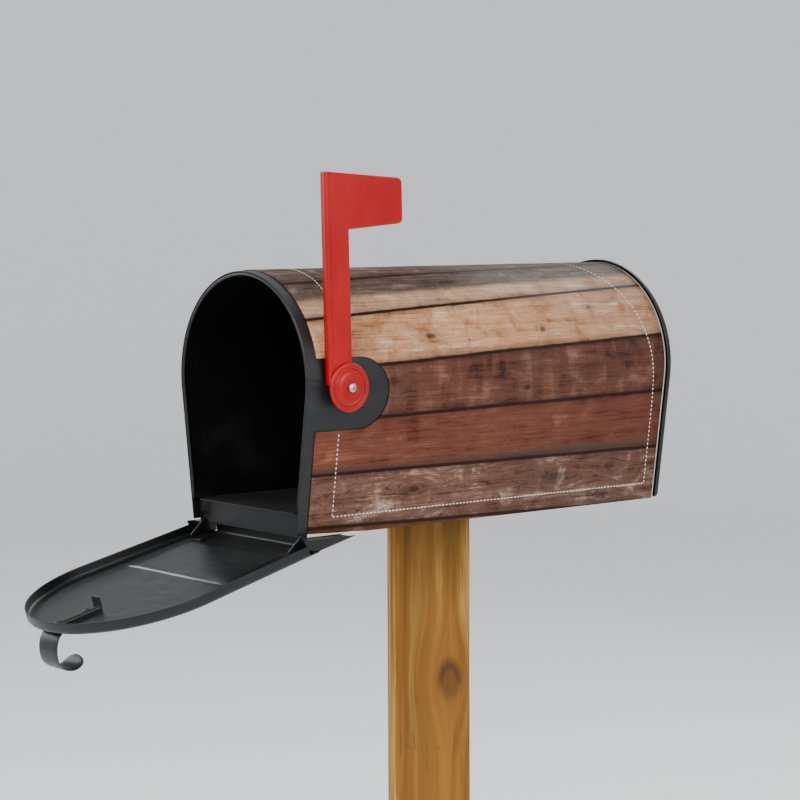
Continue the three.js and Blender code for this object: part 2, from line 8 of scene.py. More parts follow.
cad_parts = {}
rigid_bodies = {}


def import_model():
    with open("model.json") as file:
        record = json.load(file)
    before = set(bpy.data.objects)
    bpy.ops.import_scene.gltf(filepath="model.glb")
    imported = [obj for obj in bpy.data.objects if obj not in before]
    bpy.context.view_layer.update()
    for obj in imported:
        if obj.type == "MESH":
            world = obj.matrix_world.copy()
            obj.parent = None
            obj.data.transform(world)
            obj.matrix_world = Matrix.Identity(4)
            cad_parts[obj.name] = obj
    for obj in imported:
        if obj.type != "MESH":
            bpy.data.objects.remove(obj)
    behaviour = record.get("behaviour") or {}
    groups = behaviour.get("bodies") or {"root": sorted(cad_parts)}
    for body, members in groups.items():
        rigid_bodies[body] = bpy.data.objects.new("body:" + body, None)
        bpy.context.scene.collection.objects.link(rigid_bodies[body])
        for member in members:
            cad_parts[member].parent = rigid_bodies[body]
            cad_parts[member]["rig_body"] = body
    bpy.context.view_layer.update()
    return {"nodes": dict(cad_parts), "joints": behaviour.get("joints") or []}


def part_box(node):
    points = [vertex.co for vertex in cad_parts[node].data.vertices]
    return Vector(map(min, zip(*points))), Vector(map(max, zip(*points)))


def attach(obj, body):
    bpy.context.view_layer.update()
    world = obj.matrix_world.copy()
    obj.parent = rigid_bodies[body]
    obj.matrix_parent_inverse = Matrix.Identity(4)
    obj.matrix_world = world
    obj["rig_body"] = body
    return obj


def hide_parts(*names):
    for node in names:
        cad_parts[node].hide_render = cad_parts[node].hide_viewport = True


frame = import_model()
print("frame loaded")

mm = 0.001
smooth = {"interpolation_type": "SMOOTHSTEP"}


def fromHex(text):
    # sRGB hex to the linear colour that the shaders take
    channels = [int(text[i:i + 2], 16) / 255 for i in (1, 3, 5)]
    return [c / 12.92 if c <= 0.04045 else ((c + 0.055) / 1.055) ** 2.4 for c in channels] + [1]


def addNode(tree, kind, feeds=None, **settings):
    # adds one node; feeds gives its inputs a value, another node or one of its outputs
    node = tree.nodes.new("ShaderNode" + kind)
    for name, value in settings.items():
        setattr(node, name, value)
    for name, value in (feeds or {}).items():
        if isinstance(value, bpy.types.Node):
            value = [output for output in value.outputs if output.enabled][0]
        if isinstance(value, bpy.types.NodeSocket):
            tree.links.new(value, node.inputs[name])
        else:
            node.inputs[name].default_value = value
    return node


def newMaterial(name):
    material = bpy.data.materials.new(name)
    material.use_nodes = True
    material.node_tree.nodes.clear()
    return material, material.node_tree


def giveSurface(tree, shader):
    # one Principled shader, whose constants sit on its own sockets
    addNode(tree, "OutputMaterial", {"Surface": addNode(tree, "BsdfPrincipled", shader)})


def layPatterns(tree, where, patterns):
    # a noise for each pattern of a finish, its size given in millimetres along X, Y and Z
    laid = {}
    for name, pattern in patterns.items():
        place = addNode(tree, "Mapping", {
            "Vector": where, "Location": pattern.get("shift", (0, 0, 0)),
            "Scale": [1000 / size for size in pattern["size"]]})
        laid[name] = addNode(tree, "TexNoise", {
            "Vector": place, "Scale": 1, "Detail": pattern["detail"], "Roughness": pattern.get("rough", 0.55),
            "Distortion": pattern.get("wave", 0)})
    return laid


def mixPatterns(tree, laid, shares):
    mixed = 0.0
    for pattern, share in shares.items():
        mixed = addNode(tree, "Math", {0: laid[pattern], 1: share, 2: mixed}, operation="MULTIPLY_ADD")
    return mixed


def paintOver(tree, colour, layers):
    # lays each colour over the last as far as its mask says
    colour = fromHex(colour) if isinstance(colour, str) else colour
    for mask, over in layers:
        over = fromHex(over) if isinstance(over, str) else over
        colour = addNode(tree, "Mix", {0: mask, 6: colour, 7: over}, data_type="RGBA")
    return colour


def makeFinish(name, finish):
    # layers: pattern, where its mask starts and is full, strength, colour; roughness: pattern, its
    # range, least and most; relief: pattern, strength, depth in millimetres
    material, tree = newMaterial(name)
    laid = layPatterns(tree, addNode(tree, "TexCoord").outputs["Object"], finish["patterns"])
    laid["mixed"] = mixPatterns(tree, laid, finish.get("shares", {}))
    layers = []
    for pattern, low, high, strength, colour in finish["layers"]:
        mask = addNode(tree, "MapRange", {0: laid[pattern], 1: low, 2: high, 4: strength}, **smooth)
        layers.append((mask, colour))
    pattern, low, high, least, most = finish["roughness"]
    dull = addNode(tree, "MapRange", {0: laid[pattern], 1: low, 2: high, 3: least, 4: most})
    if "scratched" in finish:
        # scratches are duller as well as paler
        dull = addNode(tree, "Math", {0: dull, 1: layers[finish["scratched"]][0]}, operation="ADD")
    if "paintedHighlight" in finish:
        # a painted highlight: paler where the mesh's attribute says so, standing in for light glinting along
        # the door's crease
        layers.append((addNode(tree, "Attribute", attribute_name="creaseHighlight").outputs["Fac"], finish["paintedHighlight"]))
    pattern, strength, depth = finish["relief"]
    bump = addNode(tree, "Bump", {"Strength": strength, "Distance": depth * mm, "Height": laid[pattern]})
    giveSurface(tree, {"Base Color": paintOver(tree, finish["base"], layers), "Roughness": dull,
                       "Normal": bump, **finish["shader"]})
    return material


def makePiece(name, verts, faces, material, sharp=32):
    mesh = bpy.data.meshes.new(name)
    mesh.from_pydata([tuple(v) for v in verts], [], faces)
    mesh.validate()
    work = bmesh.new()
    work.from_mesh(mesh)
    bmesh.ops.recalc_face_normals(work, faces=work.faces)
    work.to_mesh(mesh)
    work.free()
    return placeMesh(name, mesh, material, sharp)


def placeMesh(name, mesh, material, sharp):
    mesh.shade_smooth()
    mesh.set_sharp_from_angle(angle=math.radians(sharp))
    piece = bpy.data.objects.new(name, mesh)
    bpy.context.scene.collection.objects.link(piece)
    mesh.materials.append(material)
    return piece


def closeSeams(piece):
    # joins doubled points, closes open ends and turns the faces outwards
    work = bmesh.new()
    work.from_mesh(piece.data)
    bmesh.ops.remove_doubles(work, verts=work.verts, dist=1e-6)
    bmesh.ops.holes_fill(work, edges=[e for e in work.edges if e.is_boundary], sides=0)
    bmesh.ops.recalc_face_normals(work, faces=work.faces)
    work.to_mesh(piece.data)
    work.free()


def easeEdges(piece, width, angle):
    bevel = piece.modifiers.new("edge", "BEVEL")
    bevel.width = width * mm
    bevel.segments = 2
    bevel.limit_method = "ANGLE"
    bevel.angle_limit = math.radians(angle)
    return bevel


def thicken(piece, thickness):
    # gives an open skin its wall, inwards from its outer face
    wall = piece.modifiers.new("wall", "SOLIDIFY")
    wall.thickness = thickness * mm
    wall.offset = -1
    return wall


def standFor(piece, node):
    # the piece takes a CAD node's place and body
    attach(piece, frame["nodes"][node]["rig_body"])
    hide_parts(node)


def softened(node, width, material, angle=28):
    # a CAD piece with its edges broken by a small round, as a pressed or turned part has
    mesh = frame["nodes"][node].data.copy()
    mesh.materials.clear()
    work = bmesh.new()
    work.from_mesh(mesh)
    bmesh.ops.remove_doubles(work, verts=work.verts, dist=1e-6)
    bmesh.ops.dissolve_limit(work, angle_limit=math.radians(0.6), verts=work.verts, edges=work.edges)
    work.to_mesh(mesh)
    work.free()
    piece = placeMesh(node + "_detail", mesh, material, 30)
    easeEdges(piece, width, angle).harden_normals = True
    standFor(piece, node)


def turnedRing(profile, steps):
    # turns [radius, height] pairs about Z into vertices and faces
    angles = [2 * math.pi * i / steps for i in range(steps)]
    return loftRows([[Vector((r * math.cos(a), r * math.sin(a), height)) for a in angles]
                     for r, height in profile])


def loftRows(rows, closedRow=True):
    # skins neighbouring rows of points that all have the same count
    verts = [point for row in rows for point in row]
    count = len(rows[0])
    faces = []
    for r in range(len(rows) - 1):
        for i in range(count if closedRow else count - 1):
            j = (i + 1) % count
            faces.append((r * count + i, r * count + j, (r + 1) * count + j, (r + 1) * count + i))
    return verts, faces


# The box's own corner: its front edge and the bottom edge of its walls
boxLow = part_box("body_shell")[0]
frontY = boxLow[1]
bottomZ = boxLow[2]
joints = {joint["name"]: joint for joint in frame["joints"]}
flagPin = Vector(joints["flag_pivot"]["pos_m"])


def inBox(x, y, z):
    # a place in millimetres from the box's front bottom edge, in metres in the frame
    return Vector((x * mm, frontY + y * mm, bottomZ + z * mm))


cameraView = {
    "lens": 103.4,
    "azimuth": 50.46,
    "elevation": 4.574,
    "roll": -0.247,
    "distance": 2560.8,
    "aside": 36.03,
    "above": 14.59,
    "aim": (0, 260, 134),
}


def makeCamera():
    az = math.radians(cameraView["azimuth"])
    el = math.radians(cameraView["elevation"])
    roll = math.radians(cameraView["roll"])
    ahead = Vector((-math.sin(az) * math.cos(el), math.cos(az) * math.cos(el), -math.sin(el)))
    right = Vector((math.cos(az), math.sin(az), 0))
    up = right.cross(ahead)
    right, up = (math.cos(roll) * right + math.sin(roll) * up,
                 -math.sin(roll) * right + math.cos(roll) * up)
    place = inBox(*cameraView["aim"]) + mm * (
        -cameraView["distance"] * ahead - cameraView["aside"] * right - cameraView["above"] * up)
    data = bpy.data.cameras.new("camera")
    data.lens = cameraView["lens"]
    data.sensor_width = 36
    data.clip_start = 0.05
    data.clip_end = 100
    camera = bpy.data.objects.new("camera", data)
    turn = Matrix((right, up, -ahead)).transposed().to_4x4()
    camera.matrix_world = Matrix.Translation(place) @ turn
    bpy.context.scene.collection.objects.link(camera)
    bpy.context.scene.camera = camera


studio = {
    "lamps": {
        "key": {"place": (1.2, -3.4, 3.6), "size": 2.6, "power": 150},
        "side": {"place": (3.6, 0.6, 2.4), "size": 2.4, "power": 70},
        "left": {"place": (-3.4, -1.6, 2.6), "size": 2.4, "power": 70},
        "back": {"place": (-1.4, 3.8, 3.2), "size": 2.6, "power": 70},
    },
    "lampAim": (0, 0, 1.1), "sky": "#f2f4f6", "skyLight": 0.85,
    "flat": 7.5, "curve": 4.0, "height": 9.0, "steps": 16,
    # matt backdrop paper, faintly mottled
    "paper": {
        "base": "#f6f7f8", "layers": [],
        "patterns": {"mottle": {"size": (333, 333, 333), "detail": 3}},
        "roughness": ("mottle", 0, 1, 0.85, 0.85), "relief": ("mottle", 0.05, 2), "shader": {},
    },
}


def makeLamps():
    for name, lamp in studio["lamps"].items():
        data = bpy.data.lights.new(name, "AREA")
        data.shape = "DISK"
        data.size = lamp["size"]
        data.energy = lamp["power"]
        piece = bpy.data.objects.new(name, data)
        piece.location = lamp["place"]
        aim = Vector(studio["lampAim"]) - Vector(lamp["place"])
        piece.rotation_euler = aim.to_track_quat("-Z", "Y").to_euler()
        bpy.context.scene.collection.objects.link(piece)
    world = bpy.data.worlds.new("studio")
    world.use_nodes = True
    sky = world.node_tree.nodes["Background"]
    sky.inputs[0].default_value = fromHex(studio["sky"])
    sky.inputs[1].default_value = studio["skyLight"]
    bpy.context.scene.world = world


def makeStudio():
    # a pale floor that curves up into a backdrop all round
    flat, curve, steps = studio["flat"], studio["curve"], studio["steps"]
    profile = [(0.001, 0), (flat * 0.5, 0), (flat, 0)]
    for i in range(1, steps + 1):
        angle = math.pi / 2 * i / steps
        profile.append((flat + curve * math.sin(angle), curve * (1 - math.cos(angle))))
    profile.append((flat + curve, studio["height"]))
    verts, faces = turnedRing(profile, 96)
    makePiece("studio_floor", verts, faces, makeFinish("pale_paper", studio["paper"]), 60)


makeCamera()
makeLamps()
makeStudio()
print("camera, lamps and floor made")


# satin polyester powder coat, sprayed and baked on pressed steel: a soft wide sheen over fine
# orange peel, with greyer rubbed patches, light scuffs and specks of dust
powderCoat = {
    "base": "#0c0c0d",
    "patterns": {
        "cloud": {"size": (70, 70, 70), "detail": 4, "rough": 0.6},
        "speck": {"size": (2.4, 2.4, 2.4), "detail": 2, "rough": 0.6},
        "scuff": {"size": (4, 28, 4), "detail": 5, "rough": 0.65},
        # real orange peel is about 0.8 mm, drawn twice as coarse so that it shows
        "peel": {"size": (1.6, 1.6, 1.6), "detail": 2, "rough": 0.5},
    },
    "layers": [("cloud", 0.5, 0.75, 0.35, "#2b2b2d"), ("scuff", 0.6, 0.74, 0.105, "#5b5954"),
               ("speck", 0.66, 0.74, 0.25, "#38383c")],
    "roughness": ("cloud", 0, 1, 0.34, 0.46),
    "relief": ("peel", 0.12, 0.3),
    "shader": {"IOR": 1.5, "Specular IOR Level": 0.4},
}
# the same coat inside the box: duller, on a paler base, with fainter patches and scuffs
insideCoatFinish = {
    **powderCoat, "base": "#151314", "roughness": ("cloud", 0, 1, 0.5, 0.62),
    "layers": [("cloud", 0.5, 0.75, 0.15, "#2b2b2d"), ("scuff", 0.6, 0.74, 0.045, "#5b5954"),
               ("speck", 0.66, 0.74, 0.25, "#38383c")],
}
# zinc-plated steel, headed and turned: pale bright metal with fine turning marks and dull spots
zincPlate = {
    "base": "#d2d3d4",
    "patterns": {
        "cloud": {"size": (6, 6, 6), "detail": 4, "rough": 0.6},
        "turning": {"size": (0.45, 3.3, 3.3), "detail": 2},
    },
    "layers": [("cloud", 0.35, 0.7, 1, "#9c9da0")],
    "roughness": ("cloud", 0.3, 0.75, 0.22, 0.45),
    "relief": ("turning", 0.15, 0.1),
    "shader": {"Metallic": 1},
}
# injection moulded ABS: one strong even red, a low gloss, faint flow marks and light scratches
redAbs = {
    "base": "#990004",
    "patterns": {
        "flow": {"size": (33, 33, 95), "detail": 3},
        "scratches": {"size": (33, 1.1, 17), "detail": 4, "rough": 0.7, "shift": (0.3, 0.1, 0)},
        "grain": {"size": (0.7, 0.7, 0.7), "detail": 2},
    },
    "layers": [("flow", 0.35, 0.7, 1, "#ac0006"), ("scratches", 0.66, 0.74, 0.15, "#cc1a22")],
    "roughness": ("flow", 0.3, 0.8, 0.27, 0.35),
    "scratched": 1,
    "relief": ("grain", 0.06, 0.2),
    "shader": {"IOR": 1.53, "Specular IOR Level": 0.28},
}
# natural nylon, turned: milky off-white that lets a little light in, with a soft sheen
nylon = {
    "base": "#d9d4c6",
    "patterns": {"cloud": {"size": (3.3, 3.3, 3.3), "detail": 3}},
    "layers": [("cloud", -0.25, 1.25, 1, "#efece2")],
    "roughness": ("cloud", 0.3, 0.7, 0.4, 0.55),
    "relief": ("cloud", 0.1, 0.1),
    "shader": {"IOR": 1.53, "Subsurface Weight": 0.15, "Subsurface Scale": 2 * mm},
}
# calendered white vinyl, seen at the cover's cut edge and as its stitches: soft white, a little dirty
bareVinyl = {
    "base": "#efebe4",
    "patterns": {"cloud": {"size": (8, 8, 8), "detail": 4}},
    "layers": [("cloud", 0.4, 0.75, 1, "#cfc6ba")],
    "roughness": ("cloud", 0.3, 0.7, 0.45, 0.6),
    "relief": ("cloud", 0.1, 0.2),
    "shader": {"IOR": 1.48},
}
# a planed softwood board: pale, straight grained and dull, a little dirty
softwood = {
    "base": "#7c5a2c",
    "patterns": {
        "grain": {"size": (3.3, 167, 3.3), "detail": 5, "rough": 0.6, "wave": 0.5},
        "band": {"size": (22, 500, 22), "detail": 3, "rough": 0.5, "wave": 0.8, "shift": (1, 0, 0)},
    },
    "shares": {"grain": 0.5, "band": 0.5},
    "layers": [("mixed", 0.38, 0.52, 1, "#a07c48"), ("mixed", 0.52, 0.64, 1, "#c2a06c")],
    "roughness": ("mixed", 0.35, 0.65, 0.85, 0.7),
    "relief": ("mixed", 0.4, 0.6),
    "shader": {"IOR": 1.5},
}

coat = makeFinish("satin_black_powder_coat", powderCoat)
# the coat with a painted highlight: a pale line along the door's crease that stands in for light glinting
# there
coatCreaseHighlight = makeFinish("powder_coat_with_painted_crease_highlight", {**powderCoat, "paintedHighlight": "#a2a3a1"})
coatInside = makeFinish("inside_black_powder_coat", insideCoatFinish)
zinc = makeFinish("zinc_plated_steel", zincPlate)
red = makeFinish("red_moulded_abs", redAbs)
naturalNylon = makeFinish("natural_turned_nylon", nylon)
whiteVinyl = makeFinish("white_vinyl_edge", bareVinyl)
board = makeFinish("planed_softwood", softwood)
print("plain finishes made")


cover = {
    "radius": 114.1,
    "archHeight": 155,
    "taper": 7.9,
    "drop": 2.5,
    "gapWidth": 4.4,
    # joints between the printed boards: distance round the sheet in mm at the front and at the back
    "joints": [
        (8.6, -3.0), (64.2, 61.4), (119.5, 127.5), (172.0, 192.6), (227.5, 259.5), (281, 318),
        (344, 372), (398, 417), (453, 446), (512, 509), (566, 583), (622, 628), (669, 664),
    ],
    # dark, middle and light tone of each board from the right edge on, then how strongly it
    # shows saw marks, stains and cracks
    "boards": [
        ("#241008", "#5f3420", "#866049", (0.5, 0.2, 0.2)),
        ("#3a1c13", "#65463a", "#a08270", (0.35, 0.35, 1)),
        ("#42190f", "#653829", "#834f3c", (0.16, 0.05, 0.1)),
        ("#2e1812", "#5a3529", "#7a5345", (1, 0.25, 0.25)),
        ("#7b4f2a", "#b38360", "#d6b898", (0.4, 0.9, 0.35)),
        ("#6e4b2f", "#ae8a6c", "#d0b59c", (0.4, 0.7, 0.3)),
        ("#0e0606", "#462f23", "#7a6150", (0.4, 0.2, 0.7)),
        ("#3d1a0e", "#6e4a34", "#987866", (0.6, 0.4, 0.8)),
        ("#815636", "#b0845e", "#cfae8c", (0.5, 0.8, 0.3)),
        ("#3a160a", "#623018", "#7e4430", (0.2, 0.1, 0.2)),
        ("#2e140c", "#563320", "#7a5340", (0.9, 0.3, 0.4)),
        ("#562410", "#6c3820", "#855036", (0.15, 0.1, 0.2)),
        ("#3a1e12", "#6b4a38", "#987c68", (0.4, 0.4, 0.9)),
        ("#2e1409", "#5f321c", "#815744", (0.4, 0.2, 0.2)),
    ],
    # knots: place along the sheet, place round it, half length, half width, depth of the dark
    "knots": [
        (150, 40, 9, 5, 0.7), (352, 38, 26, 7, 0.5), (438, 44, 10, 6, 0.5), (432, 12, 9, 4, 0.6),
        (168, 203, 10, 4, 0.75), (330, 205, 5, 4, 0.6), (300, 142, 7, 4, 0.7), (110, 158, 14, 6, 0.5),
        (216, 240, 5, 3, 0.6), (88, 274, 7, 3, 0.75), (410, 229, 3, 2.5, 0.7), (380, 345, 12, 6, 0.7),
        (140, 396, 10, 6, 0.7), (270, 470, 10, 5, 0.8), (430, 540, 12, 7, 0.7), (180, 605, 9, 6, 0.8),
    ],
    # printed patterns, with their size along the boards and across them in mm
    "patterns": {
        "streak": {"size": (71, 1.8, 1000), "detail": 6, "rough": 0.65, "wave": 0.5},
        "band": {"size": (167, 10.5, 1000), "detail": 5, "rough": 0.65, "wave": 1.2},
        "blotch": {"size": (45, 23, 1000), "detail": 6, "rough": 0.68, "wave": 0.8},
        "grit": {"size": (1.9, 1.9, 1.9), "detail": 3, "rough": 0.7},
        "cloud": {"size": (143, 55, 1000), "detail": 5, "rough": 0.6, "shift": (3, 1, 0)},
        "smear": {"size": (24, 90, 1000), "detail": 5, "rough": 0.6, "wave": 0.6, "shift": (5, 2, 0)},
        "rust": {"size": (24, 34, 1000), "detail": 6, "rough": 0.66, "wave": 0.4, "shift": (7, 3, 0)},
        "speck": {"size": (9, 7, 1000), "detail": 3, "rough": 0.6, "shift": (2, 8, 0)},
        "crack": {"size": (77, 16, 1000), "detail": 3, "rough": 0.55, "wave": 2.2, "shift": (1, 5, 0)},
    },
    "edgePatterns": {
        "wander": {"size": (111, 50, 1000), "detail": 4},
        "ragged": {"size": (14, 33, 1000), "detail": 3},
    },
    "shares": {"streak": 0.24, "band": 0.26, "blotch": 0.3, "grit": 0.12, "cloud": 0.08},
    # the board over the shoulder is weathered grey along its upper side
    "weathered": {"from": (252, 264), "to": (345, 365), "lean": 0.06, "ragged": 16,
                  "tones": ("#23160f", "#4e3f37", "#7c6b60")},
    # the smooth red board has a grey lower edge in places
    "lowEdge": {"from": (60, 64), "to": (68, 78), "tone": "#4a3a30"},
    # unprinted white margin: a wedge at the lower front corner and a thin line at the rear
    "margin": {"along": (12, 90), "height": 3.4, "rear": 1.7, "tone": "#e9e4dc"},
    "tones": {"grey": "#544a44", "rust": "#8a5226", "nail": "#2e1609", "worn": "#ac9482",
              "crack": "#1a0b05", "halo": "#3e271c", "knot": "#160c07", "shade": "#2a1208",
              "gap": "#240d05"},
    "shader": {"IOR": 1.48, "Specular IOR Level": 0.14},
}


def coverPlace(along, y):
    # the outer face of the sheet: along is the distance round it from its lower right edge
    taper = math.radians(cover["taper"])
    radius, archZ, drop = cover["radius"], cover["archHeight"], cover["drop"]
    tangent = Vector((radius * math.cos(taper), archZ - radius * math.sin(taper)))
    straight = (tangent.y + drop) / math.cos(taper)
    arc = radius * (math.pi + 2 * taper)
    if along < straight:
        z = along * math.cos(taper) - drop
        return Vector((tangent.x - (tangent.y - z) * math.tan(taper), y, z))
    if along > straight + arc:
        mirror = coverPlace(2 * straight + arc - along, y)
        return Vector((-mirror.x, y, mirror.z))
    angle = -taper + (along - straight) / radius
    return Vector((radius * math.cos(angle), y, archZ + radius * math.sin(angle)))


def coverAlong(x, z):
    taper = math.radians(cover["taper"])
    radius, archZ, drop = cover["radius"], cover["archHeight"], cover["drop"]
    straight = (archZ - radius * math.sin(taper) + drop) / math.cos(taper)
    angle = math.atan2(z - archZ, x)
    if x < 0 and angle < 0:
        angle += 2 * math.pi
    if angle < -taper:
        return (z + drop) / math.cos(taper)
    if angle > math.pi + taper:
        return 2 * straight + radius * (math.pi + 2 * taper) - (z + drop) / math.cos(taper)
    return straight + radius * (angle + taper)


coverLength = 2 * coverAlong(0, cover["archHeight"] + cover["radius"])
coverFrontY = (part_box("cover_wrap")[0][1] - frontY) / mm
coverBackY = (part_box("cover_wrap")[1][1] - frontY) / mm


def boardJoints(tree, sheet, length, around):
    # for a spot on the sheet: the number, tones and marks of its board, and how near a joint is
    laid = layPatterns(tree, sheet, cover["edgePatterns"])
    wander = addNode(tree, "Math", {0: laid["wander"], 1: 2.2 * mm, 2: around}, operation="MULTIPLY_ADD")
    wander = addNode(tree, "Math", {0: wander, 1: 1.1 * mm}, operation="SUBTRACT")
    ragged = addNode(tree, "Math", {0: laid["ragged"], 1: 1.6 * mm, 2: -0.8 * mm}, operation="MULTIPLY_ADD")
    index = 0.0
    tones = [*map(fromHex, cover["boards"][0][:3]), [*cover["boards"][0][3], 1]]
    gap = 0.0
    shade = 0.0
    half = cover["gapWidth"] * mm / 2
    for (front, back), nextBoard in zip(cover["joints"], cover["boards"][1:]):
        slope = (back - front) / (coverBackY - coverFrontY)
        level = addNode(tree, "Math", {0: length, 1: -slope, 2: wander}, operation="MULTIPLY_ADD")
        past = addNode(tree, "Math", {0: level, 1: (front - slope * coverFrontY) * mm}, operation="SUBTRACT")
        step = addNode(tree, "Math", {0: past, 1: 0}, operation="GREATER_THAN")
        index = addNode(tree, "Math", {0: index, 1: step}, operation="ADD")
        nextTones = [*map(fromHex, nextBoard[:3]), [*nextBoard[3], 1]]
        tones = [paintOver(tree, tone, [(step, over)]) for tone, over in zip(tones, nextTones)]
        off = addNode(tree, "Math", {0: past}, operation="ABSOLUTE")
        off = addNode(tree, "Math", {0: off, 1: ragged}, operation="ADD")
        line = addNode(tree, "MapRange", {0: off, 1: half * 0.5, 2: half * 1.15, 3: 1, 4: 0}, **smooth)
        near = addNode(tree, "MapRange", {0: off, 1: 0, 2: half * 4.5, 3: 1, 4: 0}, **smooth)
        gap = addNode(tree, "Math", {0: gap, 1: line}, operation="MAXIMUM")
        shade = addNode(tree, "Math", {0: shade, 1: near}, operation="MAXIMUM")
    return index, tones, gap, shade


def boardKnots(tree, sheet, around):
    # dark knots with a halo, and how far they push the grain aside
    push = 0.0
    core = 0.0
    halo = 0.0
    for x, y, longHalf, wideHalf, depth in cover["knots"]:
        local = addNode(tree, "Mapping", {
            "Vector": sheet, "Location": (-x / longHalf, -y / wideHalf, 0),
            "Scale": (1000 / longHalf, 1000 / wideHalf, 0)})
        away = addNode(tree, "VectorMath", {0: local}, operation="LENGTH")
        dark = addNode(tree, "MapRange", {0: away, 1: 0.35, 2: 1.1, 3: depth, 4: 0}, **smooth)
        near = addNode(tree, "MapRange", {0: away, 1: 0.8, 2: 3.2, 3: 1, 4: 0}, **smooth)
        aside = addNode(tree, "Math", {0: around, 1: y * mm}, operation="SUBTRACT")
        push = addNode(tree, "Math", {0: aside, 1: near, 2: push}, operation="MULTIPLY_ADD")
        core = addNode(tree, "Math", {0: core, 1: dark}, operation="MAXIMUM")
        halo = addNode(tree, "Math", {0: halo, 1: near}, operation="MAXIMUM")
    flowing = addNode(tree, "Math", {0: push, 1: -0.72, 2: around}, operation="MULTIPLY_ADD")
    return core, halo, flowing


def boardEdges(tree, laid, length, around):
    # masks of the weathered shoulder, the grey lower edge and the unprinted margins
    old, low, margin = cover["weathered"], cover["lowEdge"], cover["margin"]
    upper = addNode(tree, "Math", {0: length, 1: -old["lean"], 2: around}, operation="MULTIPLY_ADD")
    upper = addNode(tree, "Math", {0: laid["blotch"], 1: old["ragged"] * mm, 2: upper},
                    operation="MULTIPLY_ADD")
    start, end = old["from"]
    weathered = addNode(tree, "MapRange", {0: upper, 1: start * mm, 2: end * mm}, **smooth)
    start, end = old["to"]
    weathered = addNode(tree, "MapRange", {0: around, 1: start * mm, 2: end * mm, 3: weathered, 4: 0})
    start, end = low["to"]
    lowEdge = addNode(tree, "MapRange", {0: around, 1: start * mm, 2: end * mm, 3: 1, 4: 0}, **smooth)
    start, end = low["from"]
    lowEdge = addNode(tree, "MapRange", {0: around, 1: start * mm, 2: end * mm, 3: 0, 4: lowEdge})
    lowEdge = addNode(tree, "MapRange", {0: laid["band"], 1: 0.44, 2: 0.56, 3: 0, 4: lowEdge}, **smooth)
    start, end = margin["along"]
    wedge = addNode(tree, "MapRange", {0: length, 1: start * mm, 2: end * mm, 3: margin["height"] * mm, 4: 0})
    wedge = addNode(tree, "Math", {0: around, 1: wedge}, operation="LESS_THAN")
    rear = addNode(tree, "Math", {0: length, 1: (coverBackY - margin["rear"]) * mm}, operation="GREATER_THAN")
    return weathered, lowEdge, wedge, rear


